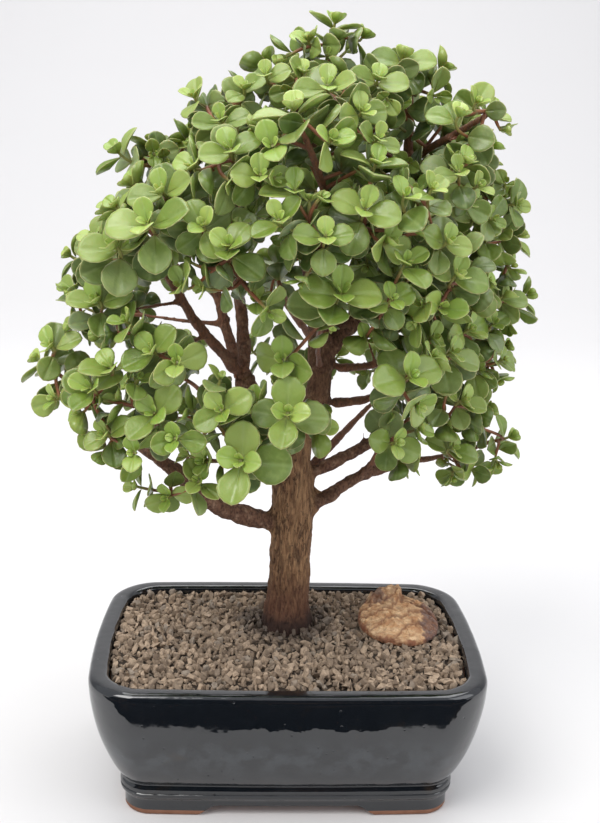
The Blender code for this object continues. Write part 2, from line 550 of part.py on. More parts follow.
def make_wood(material, lines):
    """Trunk and branches, grown as one piece."""
    radii = [entry[3] * MM for entry in TRUNK]
    wood = tube("trunk_and_branches", lines["trunk"], radii, TRUNK_ROUNDNESS)
    for name, _, start, end, _, _ in BRANCHES:
        sides = sum(start > limit for limit in ROUNDER_FROM)
        limb = tube(name, lines[name], taper(start, end, lines[name]), sides)
        combine(wood, limb, "UNION")
    CUTTERS.objects.unlink(wood)
    PARTS.objects.link(wood)
    wood.data.materials.clear()
    wood.data.materials.append(material)
    smooth(wood, 50)
    return wood


def make_trunk_cutter():
    """The trunk's foot, one gap larger, for the hole through gravel and mix."""
    buried = [entry for entry in TRUNK if entry[2] * MM <= GRAVEL_TOP + HOLE_CLEAR]
    points = [Vector(entry[:3]) * MM for entry in buried]
    points[0].z -= GAP
    radii = [entry[3] * MM + SLOPED_GAP for entry in buried]
    cutter = tube("trunk_hole", points, radii, TRUNK_ROUNDNESS)
    cutter.hide_render = True
    cutter.display_type = "WIRE"
    return cutter


# --------------------------------------------------------------------- shoots
def tip_heading(tip, hangs):
    """The way a shoot's tip points: out of the crown and up to the light, or down."""
    out = tip - CROWN_CORE
    out.z *= OUTWARD_RISE
    out.normalize()
    return (out + Vector((0, 0, DROOP if hangs else LIFT))).normalized()


def turned_axes(heading, turn):
    """Two directions across the heading, turned about it."""
    across = Vector((1, 0, 0)) - heading * heading.x
    across.normalize()
    other = heading.cross(across)
    angle = radians(turn)
    return across * cos(angle) + other * sin(angle), other * cos(angle) - across * sin(angle)


def bezier(start, start_pull, end_pull, end, share):
    rest = 1 - share
    return (start * rest ** 3 + start_pull * 3 * rest ** 2 * share
            + end_pull * 3 * rest * share ** 2 + end * share ** 3)


class Shoot:
    """A square stem with one or two pairs of leaves at its tip."""

    def __init__(self, start, start_way, tip_entry, start_radius, end_radius, curved, pairs):
        self.tip = Vector(tip_entry[:3]) * MM
        self.heading = tip_heading(self.tip, len(tip_entry) > 5)
        self.leaf = tip_entry[4] * MM
        self.axes = turned_axes(self.heading, tip_entry[3])
        length = (self.tip - start).length
        last = min(STEM_TIP, STEM_TIP_SHARE * length)
        under = self.tip - self.heading * last
        self.way = [start, under, self.tip]
        if curved:
            bend = bezier(start, start + start_way * length * STEM_PULL[0],
                          under - self.heading * length * STEM_PULL[1], under, STEM_BEND)
            self.way.insert(1, bend)
        self.start_way = start_way
        self.sides = (0, 1, 2, 3) if pairs == 2 else (0, 2)
        joints = len(self.way) - 1
        self.radii = [start_radius + (end_radius - start_radius) * i / joints for i in range(joints + 1)]
        self.kept = []

    def point_at(self, share):
        """A point of the stem below its leaves."""
        whole = share * 2
        index = min(1, int(whole))
        return self.way[index].lerp(self.way[index + 1], whole - index)

    def rings(self):
        rings = []
        for i, (place, radius) in enumerate(zip(self.way, self.radii)):
            before = self.way[max(0, i - 1)]
            after = self.way[min(len(self.way) - 1, i + 1)]
            tangent = (after - before).normalized() if i else self.start_way
            first = (self.axes[0] - tangent * self.axes[0].dot(tangent)).normalized()
            second = tangent.cross(first)
            rings.append([place + radius * (a * first + b * second)
                          for a, b in ((1, 1), (-1, 1), (-1, -1), (1, -1))])
        return rings

    def leaf_shape(self, side, spare=0.0):
        """Corners of one leaf: its foot on the stem, its widest part and its tip."""
        way = (self.axes[0], self.axes[1], -self.axes[0], -self.axes[1])[side]
        upper = side % 2
        rise = radians(LEAF_RISE[upper])
        length = self.leaf * (UPPER_PAIR if upper else 1.0)
        grow = way * cos(rise) + self.heading * sin(rise)
        wide = grow.cross(self.heading).normalized()
        flat = wide.cross(grow).normalized()
        foot = (self.way[-2] + self.tip) / 2 + way * self.radii[-1]
        half = length * LEAF_HALF_WIDTH + spare
        thick = LEAF_THICKNESS / 2 + spare
        middle = foot + grow * length * LEAF_WIDEST
        ring = [middle + a * half * wide + b * thick * flat for a, b in ((1, -1), (-1, -1), (-1, 1), (1, 1))]
        end = foot + grow * (length + spare)
        return foot, ring, end

    def leaf_tree(self, side):
        """A leaf grown by one gap all round, to test against its neighbours, and its middle."""
        spare = SLOPED_GAP
        foot, ring, end = self.leaf_shape(side, spare)
        way = (end - foot).normalized()
        wide = (ring[0] - ring[1]).normalized()
        deep = (self.tip - self.way[-2]) * LEAF_FOOT_DEPTH
        base = [foot + way * GAP + a * (self.radii[-1] + spare) * wide + b * deep
                for a, b in ((1, -1), (-1, -1), (-1, 1), (1, 1))]
        faces = [(0, 1, 2, 3)]
        for i in range(4):
            j = (i + 1) % 4
            faces.append((i, j, 4 + j, 4 + i))
            faces.append((4 + i, 4 + j, 8))
        return BVHTree.FromPolygons([*base, *ring, end], faces), (foot + end) / 2

    def mesh(self, name):
        bm = bmesh.new()
        rings = [[bm.verts.new(corner) for corner in ring] for ring in self.rings()]
        for low, high in zip(rings, rings[1:]):
            for i in range(4):
                j = (i + 1) % 4
                bm.faces.new((low[i], low[j], high[j], high[i]))
        bm.faces.new(rings[0][::-1])
        bm.faces.new(rings[-1])
        bmesh.ops.recalc_face_normals(bm, faces=bm.faces)
        for side in self.kept:
            self.grow_leaf(bm, rings, side)
        return mesh_from(name, bm)

    def grow_leaf(self, bm, rings, side):
        """Draw the stem's side face out into a leaf."""
        way = (self.axes[0], self.axes[1], -self.axes[0], -self.axes[1])[side]
        last = set(rings[-1]) | set(rings[-2])
        sides = [face for face in bm.faces if len(face.verts) == 4 and set(face.verts) <= last
                 and set(face.verts) & set(rings[-1]) and set(face.verts) & set(rings[-2])]
        face = max(sides, key=lambda item: item.normal.dot(way))
        _, ring, end = self.leaf_shape(side)
        face = bmesh.ops.extrude_discrete_faces(bm, faces=[face])["faces"][0]
        for vert in face.verts:
            vert.co = min(ring, key=lambda corner: self.corner_gap(vert.co, corner, ring, way))
        face = bmesh.ops.extrude_discrete_faces(bm, faces=[face])["faces"][0]
        bmesh.ops.pointmerge(bm, verts=face.verts[:], merge_co=end)
        bmesh.ops.recalc_face_normals(bm, faces=bm.faces)

    def corner_gap(self, place, corner, ring, way):
        """How unlike two corners' quadrants are, seen along the leaf."""
        foot = (self.way[-2] + self.tip) / 2
        middle = (ring[0] + ring[2]) / 2
        wide = (ring[0] - ring[1]).normalized()
        up = (ring[3] - ring[0]).normalized()
        from_stem = place - foot
        from_leaf = corner - middle
        mark = 0
        if from_stem.dot(wide) * from_leaf.dot(wide) < 0:
            mark += 1
        if from_stem.dot(up) * from_leaf.dot(up) < 0:
            mark += 1
        return mark


def plan_shoots(lines):
    """The shoots of every branch that carries some: one stem, and side stems from it."""
    plans = {}
    for name, _, _, end_radius, _, tips in BRANCHES:
        if not tips:
            continue
        line = lines[name]
        way = (line[-1] - line[-2]).normalized()
        seat = line[-1] + way * GAP
        base = end_radius * MM * STEM_BASE
        main = Shoot(seat, way, tips[0], base, base * STEM_THIN, True, 2)
        shoots = [main]
        for index, tip in enumerate(tips[1:]):
            start = main.point_at(SIDE_STEMS_FROM + SIDE_STEMS_APART * index)
            toward = (Vector(tip[:3]) * MM - start).normalized()
            pairs = 2 if index == 0 else 1
            shoots.append(Shoot(start, toward, tip, base * STEM_THIN, base * SIDE_STEM_THIN, False, pairs))
        plans[name] = shoots
    return plans


def stem_tree(shoot):
    """A shoot's stem without its leaves, to test leaves against."""
    corners = []
    faces = []
    for ring in shoot.rings():
        corners += ring
    for low in range(0, len(corners) - 4, 4):
        for i in range(4):
            j = (i + 1) % 4
            faces.append((low + i, low + j, low + 4 + j, low + 4 + i))
    return BVHTree.FromPolygons(corners, faces)


def grow_leaves(plans, wood):
    """Keep each leaf only where it is clear of the wood, the stems and other leaves."""
    wood_tree = BVHTree.FromPolygons([vert.co for vert in wood.data.vertices],
                                     [face.vertices[:] for face in wood.data.polygons])
    every = [shoot for shoots in plans.values() for shoot in shoots]
    stems = [(shoot, stem_tree(shoot)) for shoot in every]
    taken = []
    for pair in (0, 1):
        for shoot, side in [(shoot, side) for shoot in every for side in (pair, pair + 2)]:
            if side not in shoot.sides:
                continue
            leaf, middle = shoot.leaf_tree(side)
            near = [other for owner, other, place in taken
                    if owner is not shoot and (middle - place).length < shoot.leaf + owner.leaf]
            near += [stem for owner, stem in stems if owner is not shoot]
            if not any(leaf.overlap(other) for other in [wood_tree, *near]):
                shoot.kept.append(side)
                taken.append((shoot, leaf, middle))


def make_shoots(plans, material):
    for name, shoots in plans.items():
        label = name + "_shoots"
        whole = add_object(label, shoots[0].mesh(label), material=material)
        for shoot in shoots[1:]:
            other = add_object(label + "_side", shoot.mesh(label + "_side"), CUTTERS)
            combine(whole, other, "UNION")
        whole.data.materials.clear()
        whole.data.materials.append(material)


# ------------------------------------------------------------------- assembly
glaze = finish("dark_glaze", (0.012, 0.018, 0.026), 0.08)
plastic = finish("black_plastic_mesh", (0.02, 0.02, 0.02), 0.5)
mix = finish("bonsai_mix", (0.12, 0.08, 0.05), 0.95)
grit = finish("baked_clay_gravel", (0.26, 0.20, 0.15), 0.9)
sandstone = finish("tan_sandstone", (0.48, 0.25, 0.10), 0.85)
bark = finish("brown_bark", (0.14, 0.075, 0.04), 0.85)
leaf_green = finish("jade_green_leaf", (0.13, 0.26, 0.06), 0.35)

make_pot(glaze)
make_drain_screen("drain_screen_left", -1, plastic)
make_drain_screen("drain_screen_right", 1, plastic)
make_soil(mix, make_trunk_cutter())
make_gravel(grit, make_trunk_cutter())
make_stone(sandstone)
LINES = branch_lines()
WOOD = make_wood(bark, LINES)
PLANS = plan_shoots(LINES)
grow_leaves(PLANS, WOOD)
make_shoots(PLANS, leaf_green)
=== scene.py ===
"""Elephant bush bonsai: the shape and finish of every piece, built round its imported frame.

Metres, +Z up, front towards -Y. The origin is on the floor under the foot of the trunk.
"""
import json
import random
from itertools import product
from math import cos, pi, radians, sin, sqrt

import bmesh
import bpy
from mathutils import Matrix, Vector, noise
from mathutils.bvhtree import BVHTree
from mathutils.geometry import intersect_point_line

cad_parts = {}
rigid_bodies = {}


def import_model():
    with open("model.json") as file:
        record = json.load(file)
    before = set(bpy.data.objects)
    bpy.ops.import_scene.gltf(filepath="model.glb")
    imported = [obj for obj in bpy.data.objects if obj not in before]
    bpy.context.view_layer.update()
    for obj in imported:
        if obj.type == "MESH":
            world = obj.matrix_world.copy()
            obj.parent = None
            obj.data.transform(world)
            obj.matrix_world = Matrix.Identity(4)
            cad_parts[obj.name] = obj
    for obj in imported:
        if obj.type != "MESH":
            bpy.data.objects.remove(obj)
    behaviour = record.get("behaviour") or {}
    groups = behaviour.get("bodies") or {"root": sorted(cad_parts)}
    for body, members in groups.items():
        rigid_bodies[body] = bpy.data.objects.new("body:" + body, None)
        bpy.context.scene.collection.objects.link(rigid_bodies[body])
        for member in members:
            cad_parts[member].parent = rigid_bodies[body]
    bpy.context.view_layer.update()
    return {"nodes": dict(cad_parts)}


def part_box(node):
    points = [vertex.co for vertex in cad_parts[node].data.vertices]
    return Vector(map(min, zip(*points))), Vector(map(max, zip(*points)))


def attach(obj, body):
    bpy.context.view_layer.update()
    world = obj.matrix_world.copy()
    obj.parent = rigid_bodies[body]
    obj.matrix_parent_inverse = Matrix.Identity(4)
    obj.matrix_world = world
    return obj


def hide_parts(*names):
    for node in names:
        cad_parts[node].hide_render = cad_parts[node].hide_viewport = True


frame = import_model()


# ------------------------------------------------------------------------- pot
# Moulded stoneware under a thick near-black blue glaze, left bare on the foot ring and
# inside. Arches between the corner feet and two holes in the floor let it drain.
POT_LOW, POT_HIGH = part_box("pot")
POT_MIDDLE = Vector(((POT_LOW.x + POT_HIGH.x) / 2, (POT_LOW.y + POT_HIGH.y) / 2, 0.0))
POT_TOP = POT_HIGH.z
POT_CORNER = 0.024
CORNER_TIGHTENS = 0.75            # how much a corner's radius shrinks as the outline is drawn in
CORNER_LEAST = 0.010
SIDE_BOW = (0.0045, 0.0020)       # swell of the short and the long sides between the corners
CORNER_STEPS = 14
LONG_SIDE_STEPS = 26
SHORT_SIDE_STEPS = 14
FLOOR_UNDER = 0.008
FLOOR_TOP = 0.0155
# The section in heights and insets from the rim's outline: the foot and the belt with its
# two grooves, the swelling wall, the flat rim with its rounded edges, and the bare inside.
FOOT_AND_BELT = (
    (0.0, 0.0174), (0.0005, 0.0166), (0.0014, 0.0162), (0.0030, 0.0161), (0.0080, 0.0160),
    (0.0092, 0.0157), (0.0102, 0.0148), (0.0110, 0.0143), (0.0120, 0.0141), (0.0127, 0.0141),
    (0.0131, 0.0146), (0.0137, 0.0146), (0.0141, 0.0141), (0.0150, 0.0140), (0.0158, 0.0141),
    (0.0166, 0.0146), (0.0173, 0.0150), (0.0180, 0.0150),
)
WALL = ((0.0180, 0.0150), (0.0200, 0.0136), (0.0260, 0.0104), (0.0350, 0.0068), (0.0450, 0.0038),
        (0.0550, 0.0017), (0.0640, 0.0005), (0.0705, 0.0001))
WALL_STEPS = 4
RIM = (
    (0.0724, 0.0002), (0.0736, 0.0007), (0.0744, 0.0015), (0.0749, 0.0027), (POT_TOP, 0.0040),
    (POT_TOP, 0.0070), (0.0748, 0.0080), (0.0743, 0.0088), (0.0734, 0.0094), (0.0720, 0.0097),
)
INSIDE = ((0.0700, 0.0101), (0.0650, 0.0105), (0.0440, 0.0128), (0.0250, 0.0190), (FLOOR_TOP, 0.0260))
FOOT_INNER = (0.0267, 0.0277)     # inset of the foot ring's inner face, at the floor and above
ARCH_HEIGHT = 0.0062
FRONT_ARCH = (0.047, 0.035)       # half width at the floor and at the top of the arch
SIDE_ARCH = (0.029, 0.018)
DRAIN_X = 0.048
DRAIN_RADIUS = 0.0055
DRAIN_SIDES = 32
ARCH_REACH = (0.12, 0.15)         # half length of the cutters from the front and from the side
ARCH_STEPS = 10
CUT_PAST = 0.004
GLAZE_WAVES = ((70.0, 0.00016), (180.0, 0.00004))   # waves to the metre and their height
GLAZE_BLACK = (0.0045, 0.0062, 0.0088)
GLAZE_CLOUDED = (0.026, 0.031, 0.036)
GLAZE_BROKEN = (0.035, 0.022, 0.012)                # where it has run thin
CLOUDED_FROM = (0.018, 0.040)     # heights over which the clouds in the glaze come
CLOUDED_TO = (0.040, 0.054)       # and go
BARE_CLAY = (0.33, 0.15, 0.085)
BAKED_CLAY = (0.16, 0.07, 0.04)
BARE_BELOW = 0.0026
HOLLOW_BELOW = 0.0085             # top of the bare hollow under the floor
INSIDE_BELOW = 0.070              # top of the bare inside
FACES_DOWN = -0.3
POT_CREASE = 40                   # degrees past which an edge stays sharp


class Finish:
    """A material of procedural nodes round one Principled shader."""

    def __init__(self, name, **constants):
        self.material = bpy.data.materials.new(name)
        self.material.use_nodes = True
        self.tree = self.material.node_tree
        self.shader = self.tree.nodes["Principled BSDF"]
        for socket, value in constants.items():
            self.shader.inputs[socket.replace("_", " ")].default_value = value
        self.place = self.node("ShaderNodeTexCoord").outputs["Object"]

    def node(self, kind, **settings):
        made = self.tree.nodes.new(kind)
        for key, value in settings.items():
            setattr(made, key, value)
        return made

    def feed(self, socket, value):
        if isinstance(value, bpy.types.NodeSocket):
            self.tree.links.new(value, socket)
        elif isinstance(value, tuple) and len(value) == 3 and socket.type == "RGBA":
            socket.default_value = (*value, 1.0)
        else:
            socket.default_value = value

    def stretched(self, scale):
        mapping = self.node("ShaderNodeMapping")
        self.feed(mapping.inputs["Vector"], self.place)
        mapping.inputs["Scale"].default_value = scale
        return mapping.outputs["Vector"]

    def clouds(self, scale, detail=3.0, rough=0.55, at=None, distortion=0.0):
        made = self.node("ShaderNodeTexNoise")
        given = {"Vector": at or self.place, "Scale": scale, "Detail": detail, "Roughness": rough,
                 "Distortion": distortion}
        for socket, value in given.items():
            self.feed(made.inputs[socket], value)
        return made.outputs["Fac"]

    def cells(self, scale, at=None):
        made = self.node("ShaderNodeTexVoronoi")
        self.feed(made.inputs["Vector"], at or self.place)
        self.feed(made.inputs["Scale"], scale)
        return made.outputs["Distance"]

    def stored(self, name):
        return self.node("ShaderNodeAttribute", attribute_name=name).outputs["Fac"]

    def sum(self, operation, first, second=0.0, third=0.0):
        made = self.node("ShaderNodeMath", operation=operation)
        for socket, value in zip(made.inputs, (first, second, third)):
            self.feed(socket, value)
        return made.outputs["Value"]

    def between(self, value, low, high, to_low=0.0, to_high=1.0):
        """Smooth step of a value from one range to another."""
        made = self.node("ShaderNodeMapRange", interpolation_type="SMOOTHSTEP")
        for socket, given in zip(made.inputs, (value, low, high, to_low, to_high)):
            self.feed(socket, given)
        return made.outputs["Result"]

    def mix(self, share, first, second):
        made = self.node("ShaderNodeMix", data_type="RGBA")
        for number, value in ((0, share), (6, first), (7, second)):
            self.feed(made.inputs[number], value)
        return made.outputs[2]

    def coat(self, colour, paint, value, low, high, to_low=0.0, to_high=1.0):
        """A paint over the colour, as much as the value says on its way from low to high."""
        return self.mix(self.between(value, low, high, to_low, to_high), colour, paint)

    def stain(self, colour, paint, name, share):
        """A paint over the colour where the mesh carries the named value."""
        return self.mix(self.sum("MULTIPLY", self.stored(name), share), colour, paint)

    def along(self, axis, place=None):
        split = self.node("ShaderNodeSeparateXYZ")
        self.feed(split.inputs["Vector"], place or self.place)
        return split.outputs[axis]

    def vector(self, operation, first, second=None):
        made = self.node("ShaderNodeVectorMath", operation=operation)
        self.feed(made.inputs[0], first)
        if second:
            self.feed(made.inputs[1], second)
        return made.outputs["Value" if operation == "LENGTH" else "Vector"]

    def bump(self, height, depth):
        made = self.node("ShaderNodeBump")
        self.feed(made.inputs["Distance"], depth)
        self.feed(made.inputs["Height"], height)
        return made.outputs["Normal"]

    def done(self, **sockets):
        for socket, value in sockets.items():
            self.feed(self.shader.inputs[socket.replace("_", " ")], value)
        return self.material


def mesh_from(name, bm):
    bmesh.ops.recalc_face_normals(bm, faces=bm.faces)
    mesh = bpy.data.meshes.new(name)
    bm.to_mesh(mesh)
    bm.free()
    return mesh


def add_object(name, data):
    made = bpy.data.objects.new(name, data)
    bpy.context.scene.collection.objects.link(made)
    return made


def object_from(name, bm):
    return add_object(name, mesh_from(name, bm))


def dress(target, *finishes):
    target.data.materials.clear()
    for finish in finishes:
        target.data.materials.append(finish)


def settle(target):
    """Turn what the object's modifiers make of it into its plain mesh."""
    bpy.context.view_layer.update()
    graph = bpy.context.evaluated_depsgraph_get()
    result = bpy.data.meshes.new_from_object(target.evaluated_get(graph))
    target.modifiers.clear()
    target.data = result
    return target


def cut(target, cutter):
    step = target.modifiers.new("cut", "BOOLEAN")
    step.operation = "DIFFERENCE"
    step.solver = "EXACT"
    step.object = cutter
    settle(target)
    bpy.data.objects.remove(cutter, do_unlink=True)


def between_points(points, steps):
    """A smooth line through the points, with so many steps from each to the next."""
    line = []
    last = len(points) - 1
    for i in range(last):
        before, start, end, after = (Vector(points[max(0, min(last, i + k))]) for k in (-1, 0, 1, 2))
        for step in range(steps):
            t = step / steps
            bend = 2 * before - 5 * start + 4 * end - after
            twist = 3 * start - before - 3 * end + after
            line.append(0.5 * (2 * start + (end - before) * t + bend * t ** 2 + twist * t ** 3))
    return line + [Vector(points[-1])]


def pot_outline(inset):
    """Rounded rectangle of the pot with swelling sides, drawn in by inset."""
    half_x = (POT_HIGH.x - POT_LOW.x) / 2 - inset
    half_y = (POT_HIGH.y - POT_LOW.y) / 2 - inset
    radius = max(POT_CORNER - CORNER_TIGHTENS * inset, CORNER_LEAST)
    corners = [Vector((sx * (half_x - radius), sy * (half_y - radius)))
               for sx, sy in ((1, 1), (-1, 1), (-1, -1), (1, -1))]
    points = []
    for corner, middle in enumerate(corners):
        for step in range(CORNER_STEPS + 1):
            angle = (corner + step / CORNER_STEPS) * pi / 2
            points.append(middle + radius * Vector((cos(angle), sin(angle))))
        sides = SHORT_SIDE_STEPS if corner % 2 else LONG_SIDE_STEPS
        ahead = (corner + 1) * pi / 2
        start = points[-1]
        end = corners[(corner + 1) % 4] + radius * Vector((cos(ahead), sin(ahead)))
        points += [start.lerp(end, step / sides) for step in range(1, sides)]
    bowed = []
    for x, y in points:
        x_share, y_share = x / half_x, y / half_y
        in_x = SIDE_BOW[0] * y_share * y_share * abs(x_share) * x_share
        in_y = SIDE_BOW[1] * x_share * x_share * abs(y_share) * y_share
        bowed.append(POT_MIDDLE + Vector((x - in_x, y - in_y, 0.0)))
    return bowed


def ripple(place, often, tall, shift=(0, 0, 0)):
    """Height of a random wave at a place: so many to the metre, and so tall at most."""
    return tall * noise.noise(place * often + Vector(shift))


def join_rings(bm, rings):
    """Faces between each ring of points and the next."""
    for low, high in zip(rings, rings[1:]):
        for i in range(len(low)):
            j = (i + 1) % len(low)
            bm.faces.new((low[i], low[j], high[j], high[i]))


def make_pot_body():
    profile = [(FLOOR_UNDER, FOOT_INNER[1]), (0.0, FOOT_INNER[0]), *FOOT_AND_BELT]
    profile += [tuple(point) for point in between_points(WALL, WALL_STEPS)[1:]]
    waved = range(3, len(profile) + len(RIM))
    profile += [*RIM, *INSIDE]
    bm = bmesh.new()
    rings = []
    for index, (height, inset) in enumerate(profile):
        ring = []
        for point in pot_outline(inset):
            place = point + Vector((0.0, 0.0, height))
            out = (point - POT_MIDDLE).normalized()
            if index in waved:
                wave = sum(ripple(place, often, tall) for often, tall in GLAZE_WAVES)
                place += out * (wave - GLAZE_WAVES[0][1] / 2)
            ring.append(bm.verts.new(place))
        rings.append(ring)
    join_rings(bm, rings)
    bm.faces.new(rings[0][::-1])
    bm.faces.new(rings[-1])
    return object_from("pot_body", bm)


def eased(value, low, high):
    """From 0 to 1 as the value goes from low to high, with soft ends."""
    share = min(1.0, max(0.0, (value - low) / (high - low)))
    return share * share * (3 - 2 * share)


def arch_cutter(half_widths, reach, turn):
    """Long prism under a soft S-shaped arch."""
    low, high = half_widths
    side = []
    for step in range(ARCH_STEPS + 1):
        share = step / ARCH_STEPS
        side.append((low + (high - low) * share, ARCH_HEIGHT * eased(share, 0.0, 1.0)))
    section = [(-low, -CUT_PAST), (low, -CUT_PAST), *side, *((-x, z) for x, z in reversed(side))]
    bm = bmesh.new()
    face = bm.faces.new([bm.verts.new((x, -reach, z)) for x, z in section])
    grown = bmesh.ops.extrude_face_region(bm, geom=[face])["geom"]
    far = [item for item in grown if isinstance(item, bmesh.types.BMVert)]
    bmesh.ops.translate(bm, verts=far, vec=(0, 2 * reach, 0))
    place = Matrix.Translation(POT_MIDDLE) @ Matrix.Rotation(turn, 4, "Z")
    bmesh.ops.transform(bm, verts=bm.verts, matrix=place)
    return object_from("arch", bm)


def drain_cutter(side):
    bm = bmesh.new()
    low, high = FLOOR_UNDER - CUT_PAST, FLOOR_TOP + CUT_PAST
    bmesh.ops.create_cone(bm, cap_ends=True, segments=DRAIN_SIDES, radius1=DRAIN_RADIUS,
                          radius2=DRAIN_RADIUS, depth=high - low)
    bmesh.ops.translate(bm, verts=bm.verts, vec=POT_MIDDLE + Vector((side * DRAIN_X, 0, (low + high) / 2)))
    return object_from("drain", bm)


def dark_glaze():
    finish = Finish("dark_glaze", IOR=1.80)
    colour = finish.coat(GLAZE_BLACK, GLAZE_BROKEN, finish.clouds(60.0, 4.0), 0.60, 0.78, 0.0, 0.6)
    cloudy = finish.between(finish.clouds(85.0, 5.0, 0.6), 0.42, 0.60)
    height = finish.along("Z")
    low = finish.sum("MULTIPLY", finish.between(height, *CLOUDED_FROM, 0.1, 1.0),
                     finish.between(height, *CLOUDED_TO, 1.0, 0.05))
    colour = finish.mix(finish.sum("MULTIPLY", cloudy, low), colour, GLAZE_CLOUDED)
    colour = finish.coat(colour, BARE_CLAY, finish.cells(420.0), 0.0, 0.10, 0.25, 0.0)
    gloss = finish.between(finish.clouds(45.0, 4.0), 0.35, 0.7, 0.03, 0.11)
    uneven = finish.clouds(130.0, 2.0, 0.4)
    pits = finish.between(finish.cells(150.0), 0.05, 0.10, 1.0, 0.0)
    relief = finish.sum("MULTIPLY_ADD", pits, -0.8, uneven)
    return finish.done(Base_Color=colour, Roughness=gloss, Normal=finish.bump(relief, 0.00022))


def bare_stoneware():
    finish = Finish("bare_stoneware")
    tone = finish.clouds(140.0, 4.0)
    grain = finish.clouds(1800.0, 2.0)
    return finish.done(Base_Color=finish.mix(tone, BARE_CLAY, BAKED_CLAY),
                       Roughness=finish.between(tone, 0.3, 0.7, 0.75, 0.95),
                       Normal=finish.bump(grain, 0.0001))


pot_body = make_pot_body()
cut(pot_body, arch_cutter(FRONT_ARCH, ARCH_REACH[0], 0.0))
cut(pot_body, arch_cutter(SIDE_ARCH, ARCH_REACH[1], pi / 2))
for drain_side in (-1, 1):
    cut(pot_body, drain_cutter(drain_side))
dress(pot_body, dark_glaze(), bare_stoneware())
pot_body.data.shade_smooth()
pot_body.data.set_sharp_from_angle(angle=radians(POT_CREASE))
for face in pot_body.data.polygons:
    middle = face.center - POT_MIDDLE
    faces_in = face.normal.dot(Vector((middle.x, middle.y, 0))) < 0
    inside = FLOOR_UNDER < middle.z < INSIDE_BELOW and faces_in
    under = middle.z < HOLLOW_BELOW and (face.normal.z < FACES_DOWN or faces_in)
    if inside or under or middle.z < BARE_BELOW:
        face.material_index = 1
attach(pot_body, "root")
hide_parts("pot")


# ------------------------------------------------------- drain screens and mix
# Two squares of black plastic mesh lie over the drain holes, and the pot is filled with a
# dark gritty growing mix. They keep their CAD solids, with finishes of their own.
PLASTIC_BLACK = (0.012, 0.012, 0.012)
PLASTIC_WORN = (0.035, 0.034, 0.032)
MIX_DARK = (0.045, 0.028, 0.018)
MIX_PALE = (0.16, 0.11, 0.075)
MIX_GAP_SHADE = (0.02, 0.013, 0.009)


def drain_mesh_plastic():
    finish = Finish("drain_mesh_plastic", Roughness=0.5)
    wear = finish.clouds(500.0, 3.0)
    return finish.done(Base_Color=finish.mix(wear, PLASTIC_BLACK, PLASTIC_WORN),
                       Normal=finish.bump(wear, 0.0001))


def growing_mix():
    finish = Finish("growing_mix")
    crumbs = finish.cells(320.0)
    tone = finish.clouds(90.0, 4.0)
    colour = finish.mix(tone, MIX_DARK, MIX_PALE)
    # Painted shade in the gaps between the crumbs, where the bump sinks.
    colour = finish.coat(colour, MIX_GAP_SHADE, crumbs, 0.1, 0.6, 0.6, 0.0)
    return finish.done(Base_Color=colour, Roughness=finish.between(tone, 0.3, 0.7, 0.8, 1.0),
                       Normal=finish.bump(crumbs, 0.0012))


screen_plastic = drain_mesh_plastic()
for screen in ("drain_screen_left", "drain_screen_right"):
    frame["nodes"][screen].material_slots[0].material = screen_plastic
frame["nodes"]["soil"].material_slots[0].material = growing_mix()


# --------------------------------------------------------------------- gravel
# Angular grains of baked clay, four to five millimetres across, spread over the mix to
# just under the rim. They are darker and glossier close to the trunk.
GRAIN_SIZE = 0.0050
GRAIN_SHAPES = 7
GRAIN_CORNERS = 13
GRAIN_ROUND = (0.85, 1.1)         # how near its corners keep to an egg shape
GRAIN_STRETCH = ((0.46, 0.68), (0.32, 0.46), (0.23, 0.36))     # least and most half length each way
GRAIN_SIZES = (0.72, 1.32)
GRAIN_SINKS = (-0.0022, -0.0010)
GRAIN_BED_UPRIGHT = 0.8           # steeper faces of the bed carry no grains
GRAIN_LAYERS = ((0.0025, -0.0005, 11), (0.0030, 0.0009, 23), (0.0052, 0.0021, 37))   # spacing, lift, seed
GRAIN_HEAP = (18.0, 0.0034)       # heaps to the metre, and their height
GRAIN_CROWDED = 400000.0
LIGHT_GRAIN = (0.46, 0.345, 0.247)
BROWN_GRAIN = (0.265, 0.197, 0.141)
DARK_GRAIN = (0.11, 0.078, 0.057)
GREY_GRAIN = (0.33, 0.275, 0.222)
NEAR_TRUNK_GRAIN = (0.05, 0.033, 0.026)
NEAR_TRUNK_REACH = (0.027, 0.044)       # where the darkening begins to fade and where it ends
BED_SHADE_DARK = (0.015, 0.010, 0.007)
BED_SHADE_PALE = (0.06, 0.042, 0.030)
MERGE_WITHIN = 0.00001


def collection_of(name, members):
    """A hidden collection of shapes for Geometry Nodes to pick from."""
    made = bpy.data.collections.new(name)
    bpy.context.scene.collection.children.link(made)
    for member in members:
        for holder in list(member.users_collection):
            holder.objects.unlink(member)
        made.objects.link(member)
    return made


def drop_collection(made):
    for member in list(made.objects):
        bpy.data.objects.remove(member, do_unlink=True)
    bpy.data.collections.remove(made)


def grain_shape(number):
    """One chip: the hull of a few random points on a squat lump."""
    draw = random.Random(40 + number)
    stretch = Vector([draw.uniform(*limits) for limits in GRAIN_STRETCH])
    bm = bmesh.new()
    for _ in range(GRAIN_CORNERS):
        way = Vector((draw.gauss(0, 1), draw.gauss(0, 1), draw.gauss(0, 1))).normalized()
        bm.verts.new(way * draw.uniform(*GRAIN_ROUND) * stretch)
    bmesh.ops.convex_hull(bm, input=bm.verts)
    bmesh.ops.delete(bm, geom=[vert for vert in bm.verts if not vert.link_faces], context="VERTS")
    return object_from("grain_%d" % number, bm)


